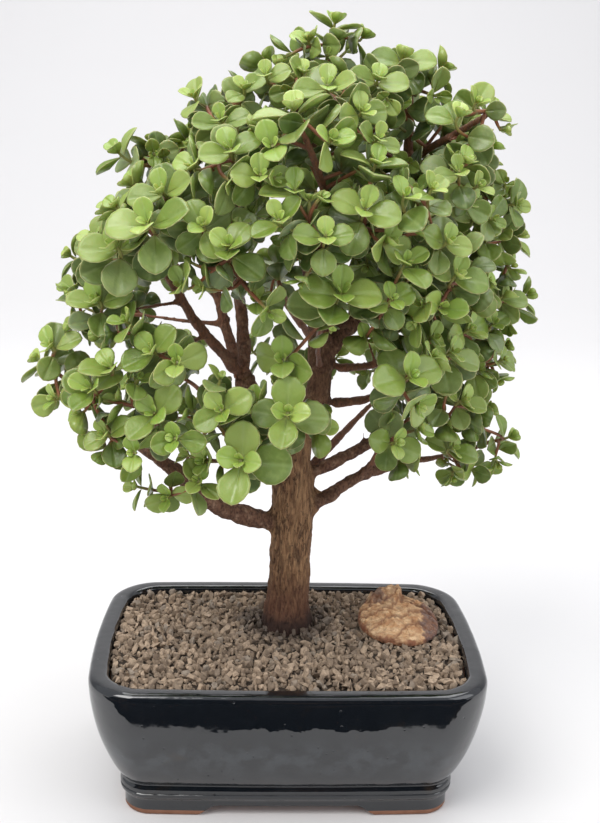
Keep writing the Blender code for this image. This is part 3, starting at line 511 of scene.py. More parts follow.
class NodeTree:
    """A Geometry Nodes tree with named inputs."""

    def __init__(self, name, inputs):
        self.tree = bpy.data.node_groups.new(name, "GeometryNodeTree")
        face = self.tree.interface
        face.new_socket("Geometry", in_out="INPUT", socket_type="NodeSocketGeometry")
        face.new_socket("Geometry", in_out="OUTPUT", socket_type="NodeSocketGeometry")
        self.keys = {}
        for label, kind in inputs.items():
            made = face.new_socket(label, in_out="INPUT", socket_type="NodeSocket" + kind)
            self.keys[label] = made.identifier
        self.start = self.node("NodeGroupInput").outputs
        self.end = self.node("NodeGroupOutput").inputs["Geometry"]

    def node(self, kind, settings=None, **sockets):
        """Add a node: settings are its own values, sockets are values or links by input name."""
        made = self.tree.nodes.new(kind)
        for key, value in (settings or {}).items():
            setattr(made, key, value)
        for label, value in sockets.items():
            name = label.replace("_", " ")
            self.plug(next(item for item in made.inputs if item.name == name and item.enabled), value)
        return made

    def plug(self, socket, value):
        if isinstance(value, bpy.types.NodeSocket):
            self.tree.links.new(value, socket)
        else:
            socket.default_value = value

    def number(self, operation, *values):
        """A sum of two or three numbers."""
        made = self.node("ShaderNodeMath", {"operation": operation})
        for socket, value in zip(made.inputs, values):
            self.plug(socket, value)
        return made.outputs[0]

    def greater(self, value, least):
        return self.node("FunctionNodeCompare", {"data_type": "FLOAT", "operation": "GREATER_THAN"},
                         A=value, B=least).outputs[0]

    def shapes(self, collection):
        made = self.node("GeometryNodeCollectionInfo", Collection=collection, Separate_Children=True,
                         Reset_Children=True)
        return made.outputs[0]

    def dressed(self, instances, finish):
        """Instances made real, in a finish."""
        real = self.node("GeometryNodeRealizeInstances", Geometry=instances)
        return self.node("GeometryNodeSetMaterial", Geometry=real.outputs[0], Material=finish).outputs[0]

    def attribute(self, name, kind):
        made = self.node("GeometryNodeInputNamedAttribute", {"data_type": kind}, Name=name)
        return next(item for item in made.outputs if item.enabled and item.name == "Attribute")

    def random(self, low, high, seed, kind="FLOAT"):
        made = self.node("FunctionNodeRandomValue", {"data_type": kind}, Min=low, Max=high, Seed=seed)
        return next(item for item in made.outputs if item.enabled)

    def join(self, *parts):
        made = self.tree.nodes.new("GeometryNodeJoinGeometry")
        for part in parts:
            self.tree.links.new(part, made.inputs[0])
        return made.outputs[0]

    def grow(self, target, **values):
        """Run the tree on an object and keep the result as its plain mesh."""
        step = target.modifiers.new("grow", "NODES")
        step.node_group = self.tree
        for label, value in values.items():
            step[self.keys[label.replace("_", " ")]] = value
        return settle(target)


def grain_tree():
    """Grains spread on the upward faces of a bed, layer on layer."""
    inputs = {"Grains": "Collection", "Size": "Float", "Grain finish": "Material"}
    for number in range(len(GRAIN_LAYERS)):
        inputs["Spacing %d" % number] = "Float"
        inputs["Lift %d" % number] = "Float"
        inputs["Seed %d" % number] = "Int"
    tree = NodeTree("spread_grains", inputs)
    given = tree.start
    normal = tree.node("ShaderNodeSeparateXYZ", Vector=tree.node("GeometryNodeInputNormal").outputs[0])
    upward = tree.greater(normal.outputs["Z"], GRAIN_BED_UPRIGHT)
    shapes = tree.shapes(given["Grains"])
    layers = [given["Geometry"]]
    for number in range(len(GRAIN_LAYERS)):
        seed = given["Seed %d" % number]
        points = tree.node("GeometryNodeDistributePointsOnFaces", {"distribute_method": "POISSON"},
                           Mesh=given["Geometry"], Selection=upward, Seed=seed,
                           Distance_Min=given["Spacing %d" % number], Density_Max=GRAIN_CROWDED)
        heap = tree.node("ShaderNodeTexNoise", Scale=GRAIN_HEAP[0], Detail=1.0).outputs["Fac"]
        lift = tree.number("MULTIPLY_ADD", heap, GRAIN_HEAP[1], given["Lift %d" % number])
        rise = tree.number("ADD", lift, tree.random(*GRAIN_SINKS, seed))
        placed = tree.node("GeometryNodeSetPosition", Geometry=points.outputs["Points"],
                           Offset=tree.node("ShaderNodeCombineXYZ", Z=rise).outputs[0])
        any_turn = tree.random((0, 0, 0), (6.28, 6.28, 6.28), seed, "FLOAT_VECTOR")
        turn = tree.node("FunctionNodeEulerToRotation", Euler=any_turn)
        chips = tree.node("GeometryNodeInstanceOnPoints", Points=placed.outputs[0],
                          Instance=shapes, Pick_Instance=True, Rotation=turn.outputs[0],
                          Scale=tree.number("MULTIPLY", tree.random(*GRAIN_SIZES, seed), given["Size"]))
        toned = tree.node("GeometryNodeStoreNamedAttribute", {"data_type": "FLOAT", "domain": "INSTANCE"},
                          Geometry=chips.outputs[0], Name="grain_tone",
                          Value=tree.random(0.0, 1.0, 5 + number))
        layers.append(tree.dressed(toned.outputs[0], given["Grain finish"]))
    tree.plug(tree.end, tree.join(*layers))
    return tree


def baked_clay_grains():
    finish = Finish("baked_clay_grains")
    tone = finish.stored("grain_tone")
    colour = finish.coat(LIGHT_GRAIN, BROWN_GRAIN, tone, 0.15, 0.75)
    colour = finish.coat(colour, GREY_GRAIN, tone, 0.86, 0.95, 0.0, 0.8)
    colour = finish.coat(colour, DARK_GRAIN, finish.clouds(520.0, 4.0), 0.42, 0.72, 0.0, 0.7)
    # Darker and glossier close to the trunk.
    across = finish.vector("LENGTH", finish.stretched((1.0, 1.0, 0.0)))
    ragged = finish.sum("MULTIPLY_ADD", finish.clouds(70.0, 2.0), 0.022, across)
    near_trunk = finish.between(ragged, *NEAR_TRUNK_REACH, 0.75, 0.0)
    colour = finish.mix(near_trunk, colour, NEAR_TRUNK_GRAIN)
    return finish.done(Base_Color=colour, Roughness=finish.between(near_trunk, 0.0, 0.75, 0.92, 0.6),
                       Normal=finish.bump(finish.clouds(1500.0, 3.0), 0.0002))


# The bed under the grains is painted dark, as the deep shade in the gaps between them.
def gravel_bed_shade():
    finish = Finish("gravel_shade")
    tone = finish.clouds(300.0, 3.0)
    return finish.done(Base_Color=finish.mix(tone, BED_SHADE_DARK, BED_SHADE_PALE), Roughness=0.95,
                       Normal=finish.bump(tone, 0.0008))


def copy_of_node(name, piece_name):
    """A merged copy of a CAD node's mesh, as a new piece."""
    bm = bmesh.new()
    bm.from_mesh(frame["nodes"][name].data)
    bmesh.ops.remove_doubles(bm, verts=bm.verts, dist=MERGE_WITHIN)
    return object_from(piece_name, bm)


gravel = copy_of_node("gravel_dressing", "gravel")
dress(gravel, gravel_bed_shade())
grain_shapes = collection_of("grain_shapes", [grain_shape(number) for number in range(GRAIN_SHAPES)])
grain_values = {"Grains": grain_shapes, "Size": GRAIN_SIZE, "Grain_finish": baked_clay_grains()}
for number, (spacing, lift, seed) in enumerate(GRAIN_LAYERS):
    grain_values["Spacing_%d" % number] = spacing
    grain_values["Lift_%d" % number] = lift
    grain_values["Seed_%d" % number] = seed
grain_tree().grow(gravel, **grain_values)
drop_collection(grain_shapes)
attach(gravel, "root")
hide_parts("gravel_dressing")


# --------------------------------------------------------------- accent stone
# One flat piece of weathered sandstone lying loose on the gravel. It has split along its
# layers into ledges that climb to a peak at the back, and iron stains it dark red.
STONE_LOW, STONE_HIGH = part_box("accent_stone")
STONE_TILT = 0.42                 # rise of its top towards the back
STONE_EDGE = 0.0032               # height of its edge above the gravel
STONE_CROWN = 0.0034              # rise from the edge to the middle
STONE_BLOCK = (0.04, 0.60, 0.0054)    # its cliff's place across, where it is full, and its height
STONE_LEDGES = ((-0.55, 0.0010), (-0.22, 0.0014), (0.12, 0.0012), (0.46, 0.0015))    # start, height
STONE_LEDGE_RUN = 0.035
STONE_LEDGE_SHADE_WIDTH = 0.045
STONE_SLOPE = (-0.45, 0.80)       # how the ledges climb to the left and to the back
STONE_CHIPS = 0.0017              # height of the chips and depth of the hollows on its block
STONE_HOLLOWS = 0.0012
STONE_SEAM = (0.07, 0.0009)       # width and depth of the winding seam
STONE_CLEFT = (0.50, 0.44, 0.085, 0.0018)         # its line's height at the middle and fall, width, depth
STONE_BELLY = 0.004
STONE_LIFT = 0.0035               # of its edge above the lowest point of its box
STONE_SPREAD = 1.04
STONE_SKEW = 0.13                 # its right end lies nearer the front
STONE_TAN = (0.63, 0.35, 0.172)
STONE_PALE = (0.83, 0.58, 0.345)
STONE_RUST = (0.20, 0.060, 0.035)
STONE_SHADE_PURPLE = (0.130, 0.085, 0.084)
STONE_SHADE_GREY = (0.28, 0.205, 0.185)
STONE_VEINS = (0.42, 0.19, 0.085)
STONE_CRACK_SHADE = (0.13, 0.048, 0.028)
STONE_SPECKS = (0.30, 0.14, 0.065)
STONE_FLAKES = (0.33, 0.15, 0.075)


def store(mesh, name, values):
    attribute = mesh.attributes.new(name, "FLOAT", "POINT")
    attribute.data.foreach_set("value", values)


def stone_top(flat):
    """Height above the stone's edge at a place of its plan, and how dark the painted shade of its cracks and
    hollows is there.
    """
    spot = Vector((flat.x, flat.y, 0.0))
    climb = STONE_SLOPE[1] * flat.y + STONE_SLOPE[0] * flat.x + ripple(spot, 2.2, 0.36, (3, 1, 5))
    climb += ripple(spot, 8, 0.10, (1, 9, 4))
    height = 0.0
    # How dark the painted shade is: in cracks, hollows, along the ledges and at the foot of the cliff.
    crack_shade = 0.0
    for begin, tall in STONE_LEDGES:
        height += tall * eased(climb, begin, begin + STONE_LEDGE_RUN)
        crack_shade = max(crack_shade, 1.05 - abs(climb - begin) / STONE_LEDGE_SHADE_WIDTH)
    cliff, full, tall = STONE_BLOCK
    ragged = ripple(spot, 4, 0.10, (4, 4, 1)) + ripple(spot, 12, 0.05)
    block = eased(flat.y + ragged, 0.16, full) * (1 - eased(flat.x + ragged, cliff, cliff + 0.10))
    height += tall * block * eased(flat.x + ragged, -1.0, -0.45)
    chipped = noise.noise(Vector((flat.x * 6.5, flat.y * 2.5, 2.0)))
    height += block * (STONE_CHIPS * chipped + ripple(spot, 17, 0.0009))
    hollow = block * eased(noise.noise(Vector((flat.x * 4.5, flat.y * 4.5, 11.0))), 0.10, 0.32)
    height -= STONE_HOLLOWS * hollow
    crack_shade = max(crack_shade, 0.7 * hollow)
    if flat.y > 0.25:
        crack_shade = max(crack_shade, 1.25 - abs(flat.x + ragged - cliff - 0.10) / 0.06)
    wide, deep = STONE_SEAM
    seam = noise.noise(Vector((flat.x * 1.3 - flat.y * 1.0, flat.y * 3.0 + flat.x * 1.2, 7.0)))
    height -= deep * max(0.0, 1 - abs(seam) / wide)
    crack_shade = max(crack_shade, 0.7 - abs(seam) / wide)
    middle, fall, wide, deep = STONE_CLEFT
    cleft = abs(flat.y - middle + fall * flat.x + ripple(spot, 5, 0.12))
    cleft = (1 - cleft / wide) * eased(flat.x, -0.02, 0.12)
    height -= deep * max(0.0, cleft)
    crack_shade = max(crack_shade, 2.2 * cleft)
    height += ripple(spot, 4.5, 0.0007) - abs(ripple(spot, 6, 0.0017, (0, 5, 0)))
    height += ripple(spot, 13, 0.0006) + ripple(spot, 30, 0.00032)
    return height, min(1.0, max(0.0, crack_shade))


def make_stone():
    half = (STONE_HIGH - STONE_LOW) / 2
    middle = (STONE_HIGH + STONE_LOW) / 2
    bm = bmesh.new()
    bmesh.ops.create_icosphere(bm, subdivisions=7, radius=1.0)
    cracks, rust, purple_shade = [], [], []
    for vert in bm.verts:
        unit = vert.co.copy()
        turn = Vector((unit.x, unit.y, 0)).normalized() if abs(unit.z) < 0.999 else Vector()
        plan = 1 + ripple(turn, 1.3, 0.05, (0, 0, 3.3)) + ripple(turn, 5, 0.025)
        out = sqrt(min(1.0, unit.x ** 2 + unit.y ** 2))
        flat = turn * out ** 0.8
        shore = (1 - out ** 2) ** 0.30
        top, crack_shade = stone_top(flat)
        if unit.z > 0:
            z = STONE_EDGE * shore + (STONE_CROWN * (1 - out ** 2) + top) * shore
        else:
            z = -STONE_BELLY * shore
        z += STONE_LOW.z + STONE_LIFT + STONE_TILT * (flat.y + 0.6) * half.y * 0.5
        back = flat.y * half.y - STONE_SKEW * flat.x * half.x
        vert.co = Vector((middle.x + flat.x * half.x * STONE_SPREAD * plan,
                          middle.y + back * STONE_SPREAD * plan, z))
        ragged = ripple(flat, 3.5, 0.24, (8, 2, 6)) + ripple(flat, 12, 0.16)
        # How much painted shade the cracks and hollows give, on the upper face only.
        cracks.append(crack_shade * eased(unit.z, 0.0, 0.3))
        # Dark purple-grey painted shade: on the right end, in a hollow on the left and along the ridge beside
        # the cliff.
        shade = eased(flat.x + ragged, 0.46, 0.66) * (1 - eased(flat.y + ragged, 0.45, 0.6))
        left = eased(1 - (flat - Vector((-0.50, 0.36, 0))).length * 1.2 + ragged, 0.60, 0.86)
        ridge = eased(1 - abs(flat.y + 0.75 * flat.x - 0.62) * 3 + ragged, 0.75, 0.95)
        ridge *= eased(flat.x, 0.05, 0.2)
        purple_shade.append(max(shade, 0.85 * left, 0.75 * ridge))
        rust.append(max(eased(out + 0.5 * ragged, 0.91, 1.02), 0.6 * eased(unit.z, 0.15, -0.05)))
    stone = object_from("sandstone", bm)
    for name, values in (("crack_shade", cracks), ("rust", rust), ("purple_shade", purple_shade)):
        store(stone.data, name, values)
    stone.data.shade_smooth()
    return stone


def rusty_sandstone():
    finish = Finish("rusty_sandstone")
    grain = finish.clouds(1100.0, 3.0)
    tone = finish.clouds(170.0, 5.0, 0.6, at=finish.stretched((1.0, 1.8, 1.8)))
    colour = finish.coat(STONE_TAN, STONE_PALE, tone, 0.36, 0.62)
    veins = finish.clouds(90.0, 4.0, at=finish.stretched((1.0, 2.4, 3.0)))
    colour = finish.coat(colour, STONE_VEINS, veins, 0.52, 0.66, 0.0, 0.55)
    colour = finish.stain(colour, STONE_RUST, "rust", 0.85)
    # The painted shade of those patches, purple-grey and mottled.
    dusty = finish.coat(STONE_SHADE_PURPLE, STONE_SHADE_GREY, grain, 0.45, 0.7)
    colour = finish.stain(colour, dusty, "purple_shade", 0.9)
    # Painted shade in the cracks and hollows.
    colour = finish.stain(colour, STONE_CRACK_SHADE, "crack_shade", 0.75)
    colour = finish.coat(colour, STONE_SPECKS, grain, 0.50, 0.72, 0.0, 0.35)
    flakes = finish.cells(260.0, at=finish.stretched((1.0, 1.5, 1.5)))
    colour = finish.coat(colour, STONE_FLAKES, flakes, 0.35, 0.65, 0.0, 0.35)
    relief = finish.sum("MULTIPLY_ADD", tone, 1.5, finish.sum("MULTIPLY_ADD", flakes, -1.2, grain))
    return finish.done(Base_Color=colour, Roughness=finish.between(grain, 0.3, 0.7, 0.8, 0.95),
                       Normal=finish.bump(relief, 0.0007))


stone = make_stone()
dress(stone, rusty_sandstone())
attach(stone, "root")
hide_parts("accent_stone")


# ---------------------------------------------------------- trunk and branches
# One grown piece of soft wood. Brown bark splits into upright fissures on the trunk and
# flares over the roots; the limbs are knobbly and smoother, and redder towards their ends.
WOOD_GRAIN = 0.0009               # size of the mesh that follows the limbs
UNDER_SKIN = 0.0002
THICKEST = 0.03
GIRTH_PASSES = 6
EVEN_PASSES = 3
FISSURES = (300.0, 62.0, 0.00055) # to the metre across and upright, and their depth
FISSURE_WIDTH = 0.15              # of the noise, on either side of where it is nought
KNOBS = (150.0, 0.00150)          # to the metre, and their height on a limb
SWELLS = (48.0, 0.0011)           # the same for the trunk's broad swells
WARTS = (340, 0.00050)            # for the limbs' small unevenness
ROUGHNESS = (620, 0.00024)        # and for the roughness of all wood
ROOT_FLARE = (0.0850, 0.0140, 0.0012)     # height where it begins, over what height, how far out
ROOT_LOBES = 0.0020
TRUNK_FULLER = 0.0010             # what evening out the mesh took off the trunk
LIMB_FULLER = (0.0006, 0.0008)    # and off the limbs, and what the middling ones are thicker
THIN_WOOD = (0.0016, 0.0036)      # girths over which young wood turns into limb
MIDDLING_WOOD = (0.0040, 0.0060, 0.0085, 0.0110)  # girths between which limbs are middling
THICK_WOOD = (0.006, 0.013)       # girths over which bark becomes fissured
MM = 0.001
# Stout or slim stretches of limb: their ends in millimetres, how much they are thickened or
# slimmed, and within what reach.
STOUT = (((68, 3, 330), (91, -11, 345), 0.0008, 0.005), ((12, -50, 306), (1, -74, 335), 0.0006, 0.005),
         ((5, 34, 234), (-6, 70, 248), 0.0008, 0.005), ((22, 4, 146), (39, 10, 155), -0.0018, 0.012),
         ((39, 10, 155), (78, 21, 162), -0.0013, 0.012), ((18, 5, 161), (60, 21, 178), -0.0014, 0.012))
CROTCH_FILL = (0.0055, 0.0095, 0.0034)            # girths from and to which crotches fill, and how far
CROTCH_PASSES = 6
BARK_TAN = (0.425, 0.244, 0.120)
BARK_BROWN = (0.205, 0.099, 0.046)
BARK_DARK = (0.040, 0.019, 0.012)
LIMB_PALE = (0.37, 0.225, 0.145)
LIMB_BROWN = (0.215, 0.105, 0.062)
LIMB_DARK = (0.105, 0.050, 0.032)
YOUNG_RED = (0.33, 0.125, 0.062)
FOOT_BARK_DARK = (0.125, 0.048, 0.029)
FOOT_BARK_DARKEST = (0.036, 0.017, 0.013)


def even_mesh(target, size):
    step = target.modifiers.new("even", "REMESH")
    step.mode = "VOXEL"
    step.voxel_size = size
    step.use_smooth_shade = True
    settle(target)
    soft = target.modifiers.new("soft", "SMOOTH")
    soft.factor = 0.5
    soft.iterations = EVEN_PASSES
    return settle(target)


def tree_of_faces(mesh):
    return BVHTree.FromPolygons([vert.co for vert in mesh.vertices],
                                [face.vertices[:] for face in mesh.polygons])


def girths(mesh):
    """The wood's thickness under each point, evened out over its neighbours."""
    tree = tree_of_faces(mesh)
    found = []
    for vert in mesh.vertices:
        start = vert.co - vert.normal * UNDER_SKIN
        hit = tree.ray_cast(start, -vert.normal, THICKEST)[3]
        found.append(hit if hit else THICKEST)
    for _ in range(GIRTH_PASSES):
        total = list(found)
        count = [1] * len(found)
        for edge in mesh.edges:
            a, b = edge.vertices
            total[a] += found[b]
            total[b] += found[a]
            count[a] += 1
            count[b] += 1
        found = [value / number for value, number in zip(total, count)]
    return found


def bark_relief(place, girth):
    """How far the bark stands out at a place, and how dark its fissures are there."""
    across, upright, deep = FISSURES
    thick = eased(girth, *THICK_WOOD)
    run = Vector((place.x * across, place.y * across, place.z * upright))
    run += Vector((ripple(place, 90, 0.5), ripple(place, 90, 0.5, (9, 9, 9)), 0))
    fissure = thick * max(0.0, 1 - abs(noise.noise(run)) / FISSURE_WIDTH)
    rise = -deep * fissure
    rise += ripple(place, *KNOBS) * min(1.0, girth / 0.009) * (1 - 0.6 * thick)
    rise += ripple(place, *SWELLS, (2, 5, 8)) * thick
    rise += ripple(place, *ROUGHNESS) * min(1.0, girth / 0.005)
    rise += ripple(place, *WARTS) * min(1.0, girth / 0.008) * (1 - thick)
    middling = eased(girth, *MIDDLING_WOOD[:2]) * (1 - eased(girth, *MIDDLING_WOOD[2:]))
    rise += TRUNK_FULLER * thick + LIMB_FULLER[0] * eased(girth, *THIN_WOOD) * (1 - thick)
    rise += LIMB_FULLER[1] * middling
    top, over, out = ROOT_FLARE
    flare = min(1.0, max(0.0, (top - place.z) / over)) ** 1.6
    turn = Vector((place.x, place.y, 0)).normalized() * 2.6
    lobes = noise.noise(turn + Vector((1.7, 0.2, place.z * 16)))
    rise += flare * (out + ROOT_LOBES * lobes)
    return rise, fissure


def stouter(place):
    """What the stout and slim stretches of limb add at a place."""
    more = 0.0
    for start, end, height, reach in STOUT:
        start, end = Vector(start) * MM, Vector(end) * MM
        near, share = intersect_point_line(place, start, end)
        if share < 0 or share > 1:
            near = start if share < 0 else end
        more = max(more, height * (1 - eased((place - near).length, 0.5 * reach, reach)), key=abs)
    return more


def swell(girth):
    """How far thick wood is swelled and shrunk again to fill the hollows of its crotches."""
    thin, thick, reach = CROTCH_FILL
    return reach * min(1.0, max(0.0, (girth - thin) / (thick - thin)))


def blend_crotches(target):
    """Swell the thick wood, even it out and shrink it again, which rounds off every crotch."""
    mesh = target.data
    moves = [vert.normal * swell(girth) for vert, girth in zip(mesh.vertices, girths(mesh))]
    for vert, move in zip(mesh.vertices, moves):
        vert.co += move
    even_mesh(target, WOOD_GRAIN)
    mesh = target.data
    thin, thick, reach = CROTCH_FILL
    moves = []
    for vert, girth in zip(mesh.vertices, girths(mesh)):
        before = thin + (girth - thin) / (1 + 2 * reach / (thick - thin))
        moves.append(vert.normal * swell(before))
    for vert, move in zip(mesh.vertices, moves):
        vert.co -= move
    bm = bmesh.new()
    bm.from_mesh(mesh)
    thick = [vert for vert, girth in zip(bm.verts, girths(mesh)) if girth > CROTCH_FILL[0]]
    for _ in range(CROTCH_PASSES):
        bmesh.ops.smooth_vert(bm, verts=thick, factor=0.5, use_axis_x=True, use_axis_y=True, use_axis_z=True)
    bm.to_mesh(mesh)
    bm.free()


def make_wood():
    wood = even_mesh(copy_of_node("trunk_and_branches", "trunk_and_limbs"), WOOD_GRAIN)
    blend_crotches(wood)
    mesh = wood.data
    girth = girths(mesh)
    outward = [vert.normal.copy() for vert in mesh.vertices]
    depth = []
    for vert, way, thick in zip(mesh.vertices, outward, girth):
        rise, fissure = bark_relief(vert.co, thick)
        vert.co += way * (rise + stouter(vert.co))
        depth.append(fissure)
    store(mesh, "girth", girth)
    store(mesh, "fissure", depth)
    mesh.shade_smooth()
    return wood


def brown_bark():
    finish = Finish("brown_bark")
    girth = finish.stored("girth")
    upright = finish.stretched((1.0, 1.0, 0.16))
    streaks = finish.clouds(640.0, 6.0, 0.72, at=upright)
    worn = finish.clouds(95.0, 3.0, at=finish.stretched((1.0, 1.0, 0.45)))
    worn = finish.between(worn, 0.40, 0.62, 0.35, 1.0)
    patches = finish.clouds(70.0, 4.0)
    flakes = finish.clouds(950.0, 3.0, at=finish.stretched((1.0, 1.0, 0.5)))
    trunk = finish.coat(BARK_BROWN, BARK_TAN, streaks, 0.36, 0.64)
    trunk = finish.coat(trunk, BARK_BROWN, patches, 0.42, 0.72, 0.0, 0.65)
    split = finish.clouds(620.0, 3.0, 0.5, at=upright, distortion=0.5)
    apart = finish.sum("ABSOLUTE", finish.sum("SUBTRACT", split, 0.5))
    cracks = finish.sum("MULTIPLY", finish.between(apart, 0.0, 0.044, 0.95, 0.0), worn)
    cracks = finish.sum("MULTIPLY", cracks, finish.between(flakes, 0.35, 0.55))
    trunk = finish.mix(cracks, trunk, BARK_DARK)
    limb = finish.coat(LIMB_BROWN, LIMB_DARK, flakes, 0.38, 0.66)
    limb = finish.coat(limb, LIMB_PALE, finish.clouds(240.0, 4.0), 0.5, 0.68, 0.0, 0.75)
    young = finish.coat(YOUNG_RED, LIMB_BROWN, flakes, 0.3, 0.7)
    colour = finish.coat(limb, trunk, girth, 0.0085, 0.015)
    colour = finish.coat(colour, young, girth, 0.0028, 0.0056, 0.9, 0.0)
    fissure = finish.sum("MULTIPLY", finish.stored("fissure"), finish.sum("MULTIPLY", worn, 0.75))
    colour = finish.mix(fissure, colour, BARK_DARK)
    # Darker towards the foot of the trunk, just above the gravel.
    ragged = finish.sum("MULTIPLY_ADD", finish.clouds(110.0, 4.0), 0.016, finish.along("Z"))
    colour = finish.coat(colour, FOOT_BARK_DARK, ragged, 0.092, 0.120, 0.72, 0.0)
    colour = finish.coat(colour, FOOT_BARK_DARKEST, ragged, 0.083, 0.094, 0.90, 0.0)
    relief = finish.sum("MULTIPLY_ADD", cracks, -0.8, finish.sum("MULTIPLY_ADD", flakes, 0.7, streaks))
    return finish.done(Base_Color=colour, Roughness=finish.between(girth, 0.002, 0.006, 0.5, 0.88),
                       Normal=finish.bump(relief, 0.0009))


wood = make_wood()
dress(wood, brown_bark())
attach(wood, "root")
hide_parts("trunk_and_branches")


# -------------------------------------------------------------------- foliage
# Every branch end carries soft stems with round fleshy leaves in pairs, each pair at right
# angles to the last: small and yellow-green at the tip, large and dark lower down.
CROWN_CORE = Vector((0.0, 0.008, 0.240))
